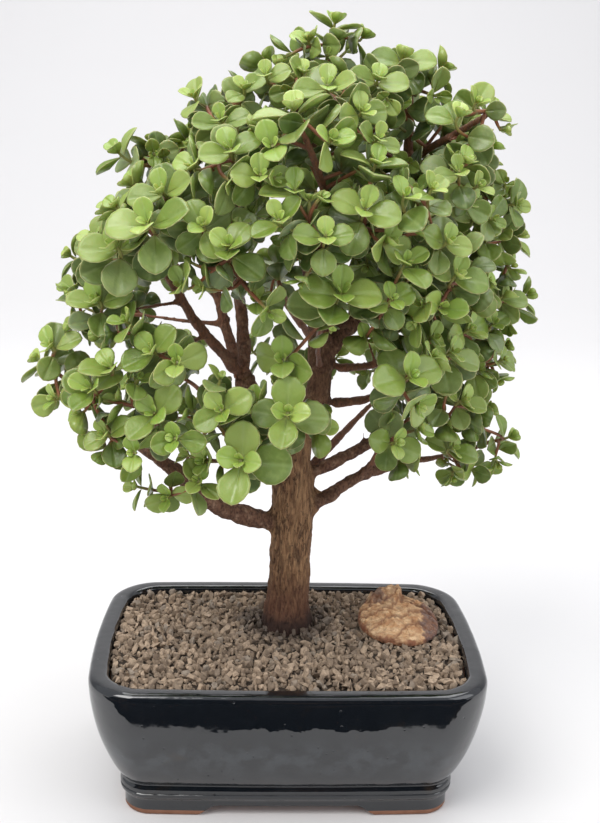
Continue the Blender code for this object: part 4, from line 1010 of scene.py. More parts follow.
# Each branch: its last two points and its radius there, then the tips of its shoots. A tip
# is x, y, z, the turn of its leaf pairs in degrees and the length of its largest leaves;
# a sixth value of -1 makes it hang. All in millimetres.
TWIGS = (
    ("left_low_end", (-98, -38, 205), (-106, -36, 212), 1.4,
     ((-125, -30, 225, 20, 13), (-114, -52, 211, 150, 12), (-116, -44, 235, 0, 15))),
    ("left_low_outer", (-95, -38, 202), (-95, -51, 209), 1.2,
     ((-94, -70, 221, 60, 16), (-85, -66, 230, 30, 17), (-101, -60, 207, 90, 12))),
    ("left_low_hang", (-80, -36, 187), (-86, -52, 189), 1.2,
     ((-88, -68, 199, 20, 13), (-90, -57, 186, 0, 14, -1), (-74, -72, 191, 0, 15))),
    ("left_low_middle", (-71, -35, 181), (-70, -48, 193), 1.3,
     ((-65, -71, 210, 45, 16), (-55, -78, 200, 0, 14), (-82, -60, 213, 90, 14))),
    ("left_low_under", (-57, -30, 168), (-60, -42, 168), 1.3,
     ((-60, -56, 164, 0, 13), (-76, -52, 168, 90, 12), (-45, -64, 175, 150, 13))),
    ("left_low_back", (-52, -5, 165), (-60, 10, 173), 1.4,
     ((-70, 24, 190, 0, 14), (-50, 28, 183, 45, 14), (-84, 4, 205, 90, 14))),
    ("front_low", (-14, -22, 177), (-20, -44, 185), 1.5,
     ((-25, -79, 190, 80, 20), (-42, -64, 185, 0, 16), (-38, -72, 207, 0, 15))),
    ("front_middle", (-2, -24, 183), (-4, -45, 195), 1.5,
     ((-4, -80, 213, 85, 17), (-18, -62, 213, 0, 14), (12, -62, 201, 90, 13))),
    ("front_upper", (12, -22, 229), (11, -47, 243), 1.5,
     ((18, -84, 269, 5, 20), (-6, -66, 235, 0, 18), (15, -72, 249, 90, 15))),
    ("left_front", (-27, -24, 208), (-30, -45, 215), 1.4,
     ((-34, -80, 214, 30, 15), (-46, -64, 197, 0, 14), (-50, -66, 209, 30, 15))),
    ("left_upper", (-64, -22, 269), (-70, -25, 280), 1.7,
     ((-110, -20, 275, 20, 11), (-95, -44, 286, 60, 13), (-82, -64, 285, 0, 18))),
    ("left_middle", (-54, -27, 233), (-60, -40, 234), 1.3,
     ((-66, -70, 239, 30, 16), (-78, -64, 251, 90, 13), (-54, -76, 235, 0, 15))),
    ("left_middle_end", (-68, -26, 252), (-80, -35, 251), 1.2,
     ((-106, -38, 243, 30, 12), (-92, -54, 259, 0, 16), (-107, -40, 261, 90, 12, -1))),
    ("left_upper_front", (-65, -36, 277), (-66, -49, 285), 1.3,
     ((-66, -80, 297, 0, 20), (-82, -64, 303, 45, 11), (-86, -40, 301, 90, 13))),
    ("left_high", (-50, 29, 286), (-54, 22, 308), 1.6,
     ((-88, -2, 324, 15, 15), (-71, 8, 329, 0, 13), (-56, 30, 330, 45, 13))),
    ("left_high_front", (-54, 0, 296), (-56, -30, 305), 1.3,
     ((-61, -68, 310, 0, 16), (-42, -84, 297, 135, 14), (-77, -44, 311, 0, 14))),
    ("upper_left", (-27, 10, 328), (-25, 5, 341), 1.5,
     ((-50, -18, 351, 60, 12), (-26, -34, 355, 45, 12), (-36, -46, 341, 0, 13))),
    ("upper_left_front", (-30, -18, 314), (-30, -50, 319), 1.3,
     ((-31, -76, 329, 20, 15), (-18, -84, 319, 0, 14), (-47, -70, 321, 45, 16))),
    ("middle_left_front", (-31, -22, 261), (-34, -50, 273), 1.3,
     ((-31, -88, 289, 60, 15), (-19, -72, 263, 0, 14), (-52, -74, 269, 0, 15))),
    ("right_low_end", (97, 24, 165), (110, 25, 170), 1.3,
     ((121, 20, 175, 0, 14), (113, 10, 163, 90, 13, -1), (101, 12, 186, 45, 13))),
    ("right_low_inner", (50, 3, 175), (54, -2, 184), 1.8,
     ((51, -36, 187, 0, 15), (64, -28, 192, 90, 14), (62, -20, 171, 0, 13))),
    ("right_low_outer", (86, 22, 162), (93, 12, 161), 1.2,
     ((101, 2, 160, 90, 13, -1), (84, -10, 177, 0, 15), (86, -8, 161, 90, 12, -1))),
    ("right_low_upper", (86, 26, 200), (97, 28, 213), 2.0,
     ((115, 20, 225, 0, 12), (112, 18, 208, 90, 14, -1), (97, -2, 217, 45, 14), (77, -34, 233, 0, 16))),
    ("right_low_middle", (82, 25, 196), (90, 14, 195), 1.2,
     ((87, -18, 205, 0, 14), (104, 4, 195, 0, 14), (80, -10, 189, 90, 15))),
    ("front_right", (52, -14, 205), (52, -38, 213), 1.5,
     ((52, -71, 229, 25, 18), (57, -62, 213, 150, 17), (64, -55, 235, 90, 15))),
    ("right_inner", (72, 16, 230), (80, 6, 236), 1.4,
     ((88, -17, 241, 60, 15), (66, -40, 241, 0, 15), (102, 10, 231, 90, 13))),
    ("right_high", (57, 11, 341), (56, 6, 359), 1.5,
     ((50, -5, 371, 0, 16), (71, 2, 367, 20, 13), (36, -30, 361, 0, 14))),
    ("middle_right_front", (42, -14, 253), (42, -44, 257), 1.3,
     ((41, -80, 266, 30, 12), (47, -78, 282, 120, 18), (32, -64, 245, 45, 13), (55, -24, 243, 80, 12))),
    ("right_middle_outer", (97, 29, 249), (110, 29, 251), 1.2,
     ((126, 25, 252, 0, 12), (108, 0, 256, 30, 14), (116, 18, 241, 60, 13))),
    ("right_middle_end", (97, 22, 276), (106, 20, 281), 1.2,
     ((117, 15, 285, 0, 13), (112, 6, 270, 60, 14), (97, -5, 286, 90, 14))),
    ("right_middle_front", (74, -6, 267), (75, -34, 265), 1.3,
     ((72, -64, 275, 0, 15), (66, -60, 259, 90, 20), (92, -36, 267, 0, 15))),
    ("centre_right", (38, -14, 281), (32, -48, 293), 1.3,
     ((27, -88, 306, 160, 15), (38, -80, 291, 0, 16), (32, -78, 325, 0, 15))),
    ("right_upper_front", (60, -10, 289), (64, -40, 289), 1.3,
     ((66, -71, 291, 0, 13), (57, -76, 314, 45, 12), (44, -84, 311, 30, 15))),
    ("right_upper_end", (92, 13, 296), (100, 10, 301), 1.2,
     ((105, 4, 305, 30, 12), (88, -16, 296, 0, 14), (86, -8, 311, 90, 13))),
    ("high_right_low", (76, 6, 299), (78, -8, 309), 1.2,
     ((73, -40, 325, 90, 14), (78, -44, 307, 0, 14), (95, 0, 323, 60, 13))),
    ("high_right_end", (83, -8, 340), (92, -11, 346), 1.3,
     ((93, -13, 348, 0, 11), (82, -32, 351, 60, 12), (99, -16, 339, 0, 10))),
    ("high_right_front", (74, -2, 334), (79, -16, 331), 1.1,
     ((92, -22, 331, 30, 14), (76, -46, 325, 0, 14), (72, -45, 345, 0, 15))),
    ("centre_high", (6, -66, 324), (1, -74, 335), 1.3,
     ((-4, -76, 346, 0, 17), (-13, -83, 331, 10, 18), (12, -82, 334, 90, 15))),
    ("centre_front", (13, -36, 277), (10, -64, 283), 1.3,
     ((10, -95, 295, 0, 13), (-10, -93, 301, 20, 14), (-3, -86, 313, 0, 15))),
    ("top_centre", (11, 0, 353), (13, 0, 365), 1.3,
     ((17, 0, 387, 20, 15), (4, -7, 378, 60, 14), (31, 4, 381, 20, 14))),
    ("top_left", (0, -4, 337), (-4, -9, 349), 1.1,
     ((-10, -11, 366, 0, 11), (-16, -35, 361, 0, 13), (1, -35, 363, 0, 12))),
    ("top_front", (13, -17, 339), (19, -34, 350), 1.2,
     ((11, -56, 357, 0, 14), (26, -66, 346, 30, 14), (33, -70, 335, 0, 12))),
    ("back_low_left", (-34, 36, 179), (-52, 50, 193), 1.4,
     ((-78, 62, 205, 30, 15), (-58, 80, 211, 0, 15), (-66, 50, 219, 60, 14))),
    ("back_low_right", (36, 38, 177), (52, 52, 189), 1.4,
     ((80, 62, 201, 30, 15), (60, 82, 207, 0, 15), (68, 52, 219, 60, 14))),
    ("back_low", (3, 50, 181), (4, 68, 189), 1.4,
     ((4, 92, 201, 0, 16), (-22, 84, 209, 45, 14), (30, 86, 205, 20, 14))),
    ("back_middle", (-2, 54, 241), (-6, 72, 249), 1.4,
     ((-6, 96, 261, 0, 16), (-30, 88, 267, 45, 15), (18, 92, 269, 20, 15), (-14, 84, 233, 0, 14))),
    ("back_left", (-54, 42, 257), (-68, 54, 265), 1.4,
     ((-92, 62, 277, 30, 15), (-66, 78, 289, 0, 14), (-76, 74, 253, 60, 15))),
    ("back_left_outer", (-58, 28, 235), (-80, 32, 237), 1.3,
     ((-112, 26, 243, 0, 14), (-96, 46, 227, 30, 14), (-102, 34, 263, 60, 14))),
    ("back_right", (56, 40, 273), (64, 56, 279), 1.4,
     ((88, 60, 291, 30, 15), (60, 80, 295, 0, 15), (80, 72, 263, 60, 15))),
    ("back_right_outer", (76, 32, 227), (88, 42, 233), 1.3,
     ((106, 52, 241, 0, 14), (86, 70, 237, 30, 14), (112, 44, 219, 60, 13))),
    ("back_high_left", (-32, 34, 311), (-32, 52, 321), 1.3,
     ((-34, 78, 327, 0, 15), (-62, 60, 325, 30, 14), (-30, 56, 349, 60, 13))),
    ("back_high_right", (46, 34, 327), (38, 48, 337), 1.3,
     ((44, 72, 345, 0, 14), (66, 52, 351, 30, 14), (24, 44, 361, 60, 13))),
    ("back_top", (6, 26, 311), (6, 46, 319), 1.3,
     ((4, 84, 311, 0, 15), (6, 74, 335, 45, 14), (-8, 46, 347, 20, 13))),
)
# From the tip down: place below the tip in millimetres, size, rise in degrees, and age.
PAIRS = (
    (0.0, 0.30, 62, 0.0), (1.0, 0.66, 40, 0.16), (3.2, 1.0, 16, 0.50), (9.0, 1.02, 4, 0.74),
    (16.0, 0.96, -6, 0.90), (24.0, 0.9, -12, 1.0), (32.0, 0.85, -14, 1.0), (41.0, 0.8, -14, 1.0),
)
FRONT = Vector((-0.018, -0.583, 0.346))           # far out in front, where the tree is looked at from
# Stretches of limb and stem, in millimetres, that no leaf covers from the front.
SHOWN = (
    ((-26, -6, 210), (-56, -19, 256)), ((-24, -5, 212), (-27, 8, 248)), ((12, 4, 200), (14, 7, 224)),
    ((18, 8, 224), (33, 15, 240)), ((10, -56, 312), (1, -74, 334)), ((68, 3, 330), (90, -11, 345)),
)
SHOWN_HALF_WIDTH = 0.0018
SHOWN_REACH = (0.01, 0.17)        # shares of the way out to the front between which it stays free
TIP_PAIRS = 3                     # that every tip carries
BARE_FOOT = 3                     # millimetres of stem that carry no pair
PAIRS_INSIDE = 5                  # most pairs on a shoot inside the crown
BARE_FOOT_INSIDE = 2
SIDE_SHOOTS = (3, 8)              # tried on each branch end, low and high in the crown
SIDE_SHOOT_HEIGHTS = (0.23, 0.30) # over which low turns into high
SIDE_SHOOT_FEET = (0.05, 0.70)    # share of the stem below them
SIDE_SHOOT_REACH = (0.012, 0.024)
SIDE_SHOOT_LEAVES = 0.9           # size of its leaves, to its parent's
SIDE_SHOOT_DEPTH = 0.012          # how far inside the crown's outline their tips stay
SIDE_SHOOT_RADIUS = 0.0010
SIDE_SHOOT_FEWEST = 3             # leaves that it must find room for
LIMB_SHOOTS = 225                 # tried along the limbs
LIMB_SHOOT_GIRTH = 0.0055         # where these are thinner than this
LIMB_SHOOT_LOW = (0.283, 0.245)   # and higher than this, on the left and on the right
LIMB_SHOOT_SPLIT = 0.02           # X between the left and the right
LIMB_SHOOT_REACH = (0.012, 0.028)
LIMB_SHOOT_RADIUS = 0.0011
LIMB_SHOOT_SIZES = (0.012, 0.016)
LIMB_SHOOT_FEWEST = 4
INNER_AGE_AND_SHADE = 0.22                  # how much older and darker leaves inside the crown are: partly their age, partly painted shade
SAME_WAY = 0.94                   # cosine within which two places lie the same way from the core
TRIES = 4                         # to find room for a leaf
TRIES_INSIDE = 2                  # the same inside the crown
STEM_TIP_RADIUS = 0.0007
STEM_SIDES = 7
STEM_STEP = 0.0025
STEM_PULL = 0.35                  # how far each end keeps its way, to the stem's length
STEM_ROOT = 0.001                 # depth of its foot in the wood
STEM_RADII = (0.95, 0.72)         # of main and side stems, to the branch's
SIDE_STEM_FEET = (0.30, 0.22)     # share of the main stem below the first, and from one to the next
TIPS_RISE, HANGING_FALL = 0.75, -0.9
LEAF_STEPS = 16                   # points round a leaf's edge
LEAF_MIDDLE = 0.56
LEAF_BASE = 0.6                   # how far along it narrows towards its foot
LEAF_CURL_FROM = 0.3
LEAF_RINGS = ((0.94, 0.28), (0.80, 0.42))         # share out to the edge, and height to the thickness
# Leaf forms: half width, how narrow the base is, fold along the midrib, curl of the tip.
LEAF_FORMS = ((0.47, 0.26, 0.34, 0.02), (0.43, 0.45, 0.46, -0.04), (0.46, 0.34, 0.26, 0.12),
              (0.41, 0.52, 0.54, -0.10), (0.48, 0.30, 0.20, 0.18))
LEAF_THICK = 0.10
LEAF_HUB, LEAF_UNDER = 0.46, -0.5 # height of its middle above and below, to the thickness
LEAF_CREASE = 8                   # degrees past which its midrib stays sharp
LEAF_OFF_STEM = 0.0006
LEAF_VARIES = (0.90, 1.10)
LEAF_ASIDE = (6, 9)               # degrees it may turn aside at first, and more at each new try
LEAF_ROLL = 8
LEAF_GAP = 0.002                  # leaves this much beyond their half sizes apart can't meet
SMALL_LEAF = 0.009                # may touch the others of its stem
LOWEST_LEAF = 0.03                # above the pot's rim
SKIN_POINTS = 8
CELL = 0.025                      # leaves are looked up in cells of this size
YOUNG_GREENS = ((0.27, 0.41, 0.062), (0.42, 0.54, 0.125))
RIPE_GREENS = ((0.162, 0.246, 0.030), (0.300, 0.392, 0.082))
OLD_GREENS = ((0.068, 0.118, 0.021), (0.190, 0.250, 0.076))
DUSTY_GREEN = (0.20, 0.255, 0.135)
BLOTCH_GREEN = (0.33, 0.42, 0.12)
FOOT_YELLOW = (0.42, 0.46, 0.14)
MIDRIB_GREEN = (0.40, 0.50, 0.20)
RIM_PALE = (0.56, 0.54, 0.25)
STEM_GREEN = (0.27, 0.28, 0.075)
STEM_RED = (0.33, 0.120, 0.055)
STEM_BROWN = (0.25, 0.095, 0.052)
STEM_MOTTLE = (0.13, 0.060, 0.038)


def leaf_edge(turn, wide, narrow):
    """How far aside and how far along a leaf its edge is, at a turn that starts from its foot."""
    along = 0.5 - 0.5 * cos(turn)
    half = 2 * wide * sqrt(max(0.0, along * (1 - along))) * min(1.0, along / LEAF_BASE) ** narrow
    return (half if sin(turn) >= 0 else -half), along


def leaf_shape(number, form):
    """One leaf a metre long: foot at the origin, growing along +Y, its upper face to +Z."""
    wide, narrow, fold, curl = form
    bm = bmesh.new()
    disc = bm.loops.layers.uv.new("leaf_disc")
    spots = {}

    def point(share, turn, lift):
        side, along = leaf_edge(turn, wide, narrow)
        x = share * side
        y = LEAF_MIDDLE + share * (along - LEAF_MIDDLE)
        z = fold * abs(x) - curl * (y - LEAF_CURL_FROM) ** 2 * 2 + lift * LEAF_THICK
        vert = bm.verts.new((x, y, z))
        spots[vert] = (0.5 + 0.5 * share * sin(turn), 0.5 - 0.5 * share * cos(turn))
        return vert

    def ring(share, lift):
        return [point(share, 2 * pi * step / LEAF_STEPS, lift) for step in range(LEAF_STEPS)]

    edge = ring(1.0, 0.0)
    upper = [edge] + [ring(share, lift) for share, lift in LEAF_RINGS]
    join_rings(bm, upper)
    for last, lift in ((upper[-1], LEAF_HUB), (edge[::-1], LEAF_UNDER)):
        hub = point(0.0, 0.0, lift)
        for i in range(LEAF_STEPS):
            bm.faces.new((last[i], last[(i + 1) % LEAF_STEPS], hub))
    for face in bm.faces:
        for loop in face.loops:
            loop[disc].uv = spots[loop.vert]
            face.smooth = True
    for edge_line in bm.edges:
        on_midrib = all(abs(vert.co.x) < 0.001 for vert in edge_line.verts)
        edge_line.smooth = not (on_midrib and edge_line.calc_face_angle(0.0) > radians(LEAF_CREASE))
    return object_from("leaf_form_%d" % number, bm)


def twig_tree():
    """Stems swept along the lines of a plan, and a leaf on each of its loose points."""
    tree = NodeTree("leafy_twigs", {"Leaf forms": "Collection", "Stem sides": "Int",
                                    "Stem finish": "Material", "Leaf finish": "Material"})
    given = tree.start
    size = tree.attribute("leaf_size", "FLOAT")
    parts = tree.node("GeometryNodeSeparateGeometry", Geometry=given["Geometry"],
                      Selection=tree.greater(size, 0.0))
    lines = tree.node("GeometryNodeMeshToCurve", Mesh=parts.outputs["Inverted"])
    section = tree.node("GeometryNodeCurvePrimitiveCircle", Resolution=given["Stem sides"], Radius=1.0)
    stems = tree.node("GeometryNodeCurveToMesh", Curve=lines.outputs[0], Profile_Curve=section.outputs[0],
                      Scale=tree.attribute("stem_radius", "FLOAT"), Fill_Caps=True)
    green = tree.node("GeometryNodeSetMaterial", Geometry=stems.outputs[0], Material=given["Stem finish"])
    turn = tree.node("FunctionNodeEulerToRotation", Euler=tree.attribute("leaf_turn", "FLOAT_VECTOR"))
    leaves = tree.node("GeometryNodeInstanceOnPoints", Points=parts.outputs["Selection"],
                       Instance=tree.shapes(given["Leaf forms"]), Pick_Instance=True,
                       Instance_Index=tree.attribute("leaf_form", "INT"),
                       Rotation=turn.outputs[0], Scale=size)
    fleshy = tree.dressed(leaves.outputs[0], given["Leaf finish"])
    tree.plug(tree.end, tree.join(green.outputs[0], fleshy))
    return tree


class Stem:
    """A soft stem on a smooth line, with the frame of its leaf pairs at every place."""

    def __init__(self, start, way, tip, heading, base_radius, turn):
        reach = (tip - start).length
        pulls = (start, start + way * reach * STEM_PULL, tip - heading * reach * STEM_PULL, tip)
        count = max(3, round(reach / STEM_STEP))
        self.line = [self.bezier(pulls, step / count) for step in range(count + 1)]
        self.heading = heading
        self.radii = [base_radius + (STEM_TIP_RADIUS - base_radius) * (step / count) ** 0.8
                      for step in range(count + 1)]
        across = (Vector((1, 0, 0)) - heading * heading.x).normalized()
        other = heading.cross(across)
        angle = radians(turn)
        self.axes = (across * cos(angle) + other * sin(angle), other * cos(angle) - across * sin(angle))

    @staticmethod
    def bezier(pulls, share):
        rest = 1 - share
        weights = (rest ** 3, 3 * rest ** 2 * share, 3 * rest * share ** 2, share ** 3)
        return sum((pull * weight for pull, weight in zip(pulls, weights)), Vector())

    def below_tip(self, distance):
        """The place and the way of the stem at a distance below its tip, or None past its foot."""
        left = distance
        for end, start in zip(self.line[::-1], self.line[-2::-1]):
            piece = (end - start).length
            if left <= piece:
                return end.lerp(start, left / piece), (end - start).normalized()
            left -= piece
        return None

    def at_share(self, share):
        place = share * (len(self.line) - 1)
        low = min(int(place), len(self.line) - 2)
        start, end = self.line[low:low + 2]
        return start.lerp(end, place - low), (end - start).normalized()

    def length(self):
        return sum((b - a).length for a, b in zip(self.line, self.line[1:]))


class Leaf:
    """A leaf's foot, its turn with +Y along it and +Z out of its upper face, and its looks."""

    def __init__(self, foot, turn, size, age, tone, form):
        self.foot, self.turn, self.size = foot, turn, size
        self.age, self.tone, self.form = age, tone, form
        self.middle = foot + turn @ Vector((0, size / 2, 0))

    def skin(self):
        """A coarse fan over the leaf, to test against its neighbours."""
        wide, narrow, fold, _ = LEAF_FORMS[self.form]
        rim = []
        for step in range(SKIN_POINTS):
            side, along = leaf_edge(2 * pi * (step + 0.5) / SKIN_POINTS, wide, narrow)
            place = Vector((side, 0.04 + 0.96 * along, fold * abs(side)))
            rim.append(self.foot + self.turn @ place * self.size)
        rim.append(self.middle)
        fan = [(i, (i + 1) % SKIN_POINTS, SKIN_POINTS) for i in range(SKIN_POINTS)]
        return BVHTree.FromPolygons(rim, fan)


def tip_heading(tip, hangs):
    out = tip - CROWN_CORE
    out.z *= 0.5
    out.normalize()
    return (out + Vector((0, 0, HANGING_FALL if hangs else TIPS_RISE))).normalized()


def inside_crown(place, tips):
    """Whether a place lies further in than the shoots that point the same way."""
    out = place - CROWN_CORE
    way = out.normalized()
    reaches = [tip - CROWN_CORE for tip in tips]
    reach = [line.length for line in reaches if line.normalized().dot(way) > SAME_WAY]
    return bool(reach) and out.length < max(reach) - SIDE_SHOOT_DEPTH


class Crown:
    """All leaves so far, so that a new one grows only where it has room."""

    def __init__(self, wood_mesh):
        self.wood = tree_of_faces(wood_mesh)
        self.cells = {}
        self.free = [sheet for start, end in SHOWN for sheet in self.free_sheets(start, end)]

    @staticmethod
    def free_sheets(start, end):
        """Two sheets along the sides of a shown stretch and out to the front, which no leaf crosses."""
        start, end = Vector(start) * MM, Vector(end) * MM
        close, far = SHOWN_REACH
        aside = (end - start).cross(FRONT - start).normalized() * SHOWN_HALF_WIDTH
        for side in (-aside, aside):
            corners = ((start, close), (end, close), (end, far), (start, far))
            sheet = [place + side + (FRONT - place) * share for place, share in corners]
            yield BVHTree.FromPolygons(sheet, [(0, 1, 2, 3)])

    @staticmethod
    def cell(place, step=(0, 0, 0)):
        return tuple(int(value // CELL) + more for value, more in zip(place, step))

    def near(self, place):
        for step in product((-1, 0, 1), repeat=3):
            yield from self.cells.get(self.cell(place, step), ())

    def has_room(self, leaf, skin, owner):
        if leaf.middle.z < POT_TOP + LOWEST_LEAF or skin.overlap(self.wood):
            return False
        if any(skin.overlap(sheet) for sheet in self.free):
            return False
        for other, other_skin, other_owner in self.near(leaf.middle):
            if other_owner is owner and other.size < SMALL_LEAF:
                continue
            apart = (other.middle - leaf.middle).length
            if apart < (other.size + leaf.size) / 2 + LEAF_GAP and skin.overlap(other_skin):
                return False
        return True

    def keep(self, leaf, skin, owner):
        self.cells.setdefault(self.cell(leaf.middle), []).append((leaf, skin, owner))


def grow_pair(crown, stem, pair, number, size, draw, tries=TRIES, older_and_shaded=0.0):
    """The two leaves of a pair, each tried at a few angles until it has room."""
    below, share, rise, age = pair
    age += older_and_shaded
    found = stem.below_tip(below * MM)
    if found is None:
        return []
    place, way = found
    first = stem.axes[number % 2]
    first = (first - way * first.dot(way)).normalized()
    grown = []
    for side in (1, -1):
        length = size * share * draw.uniform(*LEAF_VARIES)
        tone = draw.random()
        form = draw.randrange(len(LEAF_FORMS))
        for attempt in range(tries):
            loose = LEAF_ASIDE[0] + LEAF_ASIDE[1] * attempt
            spin = Matrix.Rotation(radians(draw.uniform(-loose, loose)), 3, way)
            out = spin @ (first * side)
            angle = radians(rise + draw.uniform(-loose, loose))
            grow = out * cos(angle) + way * sin(angle)
            wide = grow.cross(way).normalized()
            turn = Matrix((wide, grow, wide.cross(grow))).transposed()
            turn = turn @ Matrix.Rotation(radians(draw.uniform(-LEAF_ROLL, LEAF_ROLL)), 3, "Y")
            leaf = Leaf(place + out * LEAF_OFF_STEM, turn, length, age, tone, form)
            skin = leaf.skin()
            if crown.has_room(leaf, skin, stem):
                crown.keep(leaf, skin, stem)
                grown.append(leaf)
                break
    return grown


def grow_shoot(crown, stem, size, draw):
    """The leaves of a short shoot inside the crown."""
    leaves = []
    for number, pair in enumerate(PAIRS[:PAIRS_INSIDE]):
        if stem.length() > (pair[0] + BARE_FOOT_INSIDE) * MM:
            leaves += grow_pair(crown, stem, pair, number, size, draw, TRIES_INSIDE, INNER_AGE_AND_SHADE)
    return leaves


def twig_plan(name, stems, leaves):
    """Stem lines and leaf points with their attributes, for the tree to grow from."""
    places, edges, rows = [], [], []
    for stem in stems:
        start = len(places)
        for place, radius in zip(stem.line, stem.radii):
            share = (len(places) - start) / (len(stem.line) - 1)
            places.append(place)
            rows.append((0.0, (0.0, 0.0, 0.0), 0, 1 - share, 0.5, radius))
        edges += [(i, i + 1) for i in range(start, len(places) - 1)]
    for leaf in leaves:
        places.append(leaf.foot)
        rows.append((leaf.size, tuple(leaf.turn.to_euler()), leaf.form, leaf.age, leaf.tone, 0.0))
    mesh = bpy.data.meshes.new(name)
    mesh.from_pydata(places, edges, [])
    kinds = (("leaf_size", "FLOAT"), ("leaf_turn", "FLOAT_VECTOR"), ("leaf_form", "INT"),
             ("age", "FLOAT"), ("tone", "FLOAT"), ("stem_radius", "FLOAT"))
    for column, (label, kind) in enumerate(kinds):
        attribute = mesh.attributes.new(label, kind, "POINT")
        for row, item in zip(rows, attribute.data):
            if kind == "FLOAT_VECTOR":
                item.vector = row[column]
            else:
                item.value = row[column]
    return add_object(name, mesh)


def plan_twig(entry):
    """The stems of one branch end: the main one first, then its side stems."""
    name, before, end, radius, tips = entry
    start = Vector(end) * MM
    way = (start - Vector(before) * MM).normalized()
    stems = []
    for index, tip_entry in enumerate(tips):
        tip = Vector(tip_entry[:3]) * MM
        heading = tip_heading(tip, len(tip_entry) > 5)
        if index == 0:
            stem = Stem(start - way * STEM_ROOT, way, tip, heading, radius * MM * STEM_RADII[0], tip_entry[3])
        else:
            foot, along = stems[0][0].at_share(SIDE_STEM_FEET[0] + SIDE_STEM_FEET[1] * index)
            toward = ((tip - foot).normalized() + along * 0.4).normalized()
            stem = Stem(foot, toward, tip, heading, radius * MM * STEM_RADII[1], tip_entry[3])
        stems.append((stem, tip_entry[4] * MM))
    return name, stems


def side_shoots(stems, tips, draw):
    """More shoots off the stems of one branch end, which fill the inside of the crown."""
    added = []
    high = eased(stems[0][0].line[0].z, *SIDE_SHOOT_HEIGHTS)
    for _ in range(round(SIDE_SHOOTS[0] + high * (SIDE_SHOOTS[1] - SIDE_SHOOTS[0]))):
        parent, size = stems[draw.randrange(len(stems))]
        foot, along = parent.at_share(draw.uniform(*SIDE_SHOOT_FEET))
        loose = Vector((draw.gauss(0, 1), draw.gauss(0, 1), draw.gauss(0.3, 0.8))).normalized()
        heading = (tip_heading(foot, False) * 0.35 + loose).normalized()
        tip = foot + (heading + along * 0.3).normalized() * draw.uniform(*SIDE_SHOOT_REACH)
        turn = draw.uniform(0, 90)
        if inside_crown(tip, tips):
            way = (heading + along).normalized()
            added.append((Stem(foot, way, tip, heading, SIDE_SHOOT_RADIUS, turn),
                          size * SIDE_SHOOT_LEAVES))
    return added


def limb_shoots(mesh, plans, tips, draw):
    """Short shoots sprouting from the thin upper limbs, each listed with its nearest branch end."""
    girth = mesh.attributes["girth"].data
    thin = [vert for vert in mesh.vertices if girth[vert.index].value < LIMB_SHOOT_GIRTH
            and vert.co.z > LIMB_SHOOT_LOW[vert.co.x > LIMB_SHOOT_SPLIT]]
    added = []
    for _ in range(LIMB_SHOOTS):
        foot = thin[draw.randrange(len(thin))]
        loose = Vector((draw.gauss(0, 0.5), draw.gauss(0, 0.5), draw.gauss(0.5, 0.4)))
        heading = (foot.normal + loose).normalized()
        tip = foot.co + heading * draw.uniform(*LIMB_SHOOT_REACH)
        turn = draw.uniform(0, 90)
        size = draw.uniform(*LIMB_SHOOT_SIZES)
        if inside_crown(tip, tips):
            nearest = min(plans, key=lambda plan: (plan[1][0][0].line[0] - foot.co).length)
            start = foot.co - foot.normal * STEM_ROOT
            added.append((nearest, Stem(start, heading, tip, heading, LIMB_SHOOT_RADIUS, turn), size))
    return added


def jade_leaf():
    finish = Finish("jade_leaf", IOR=1.45, Specular_IOR_Level=0.75, Subsurface_Weight=0.10,
                    Subsurface_Scale=0.002)
    # Older leaves are darker; leaves inside the crown are made older still, as painted shade.
    age = finish.stored("age")
    tone = finish.stored("tone")
    young, ripe, old = (finish.mix(tone, *greens) for greens in (YOUNG_GREENS, RIPE_GREENS, OLD_GREENS))
    colour = finish.coat(young, ripe, age, 0.05, 0.5)
    colour = finish.coat(colour, old, age, 0.50, 1.0)
    dusty = finish.sum("MULTIPLY", finish.between(tone, 0.80, 0.90), finish.between(age, 0.55, 0.9, 0.0, 0.6))
    colour = finish.mix(dusty, colour, DUSTY_GREEN)
    disc = finish.node("ShaderNodeUVMap", uv_map="leaf_disc").outputs["UV"]
    centred = finish.vector("SUBTRACT", disc, (0.5, 0.5, 0.0))
    from_midrib = finish.sum("ABSOLUTE", finish.along("X", centred))
    colour = finish.coat(colour, BLOTCH_GREEN, finish.clouds(240.0, 3.0), 0.42, 0.72, 0.0, 0.30)
    colour = finish.coat(colour, FOOT_YELLOW, finish.along("Y", centred), -0.5, -0.20, 0.5, 0.0)
    colour = finish.coat(colour, MIDRIB_GREEN, from_midrib, 0.0, 0.08, 0.20, 0.0)
    colour = finish.coat(colour, RIM_PALE, finish.vector("LENGTH", centred), 0.462, 0.494, 0.0, 0.66)
    bloom = finish.between(finish.clouds(75.0, 3.0), 0.35, 0.75, 0.31, 0.50)
    relief = finish.sum("MULTIPLY_ADD", finish.clouds(600.0, 2.0), 0.45,
                        finish.between(from_midrib, 0.0, 0.14))
    return finish.done(Base_Color=colour, Roughness=bloom, Normal=finish.bump(relief, 0.00030))


def young_stem():
    finish = Finish("young_stem", Roughness=0.45)
    age = finish.stored("age")
    mottle = finish.clouds(420.0, 3.0)
    colour = finish.coat(STEM_GREEN, STEM_RED, age, 0.10, 0.50)
    colour = finish.coat(colour, STEM_BROWN, age, 0.55, 1.0)
    colour = finish.coat(colour, STEM_MOTTLE, mottle, 0.45, 0.7, 0.0, 0.4)
    return finish.done(Base_Color=colour, Normal=finish.bump(mottle, 0.0002))


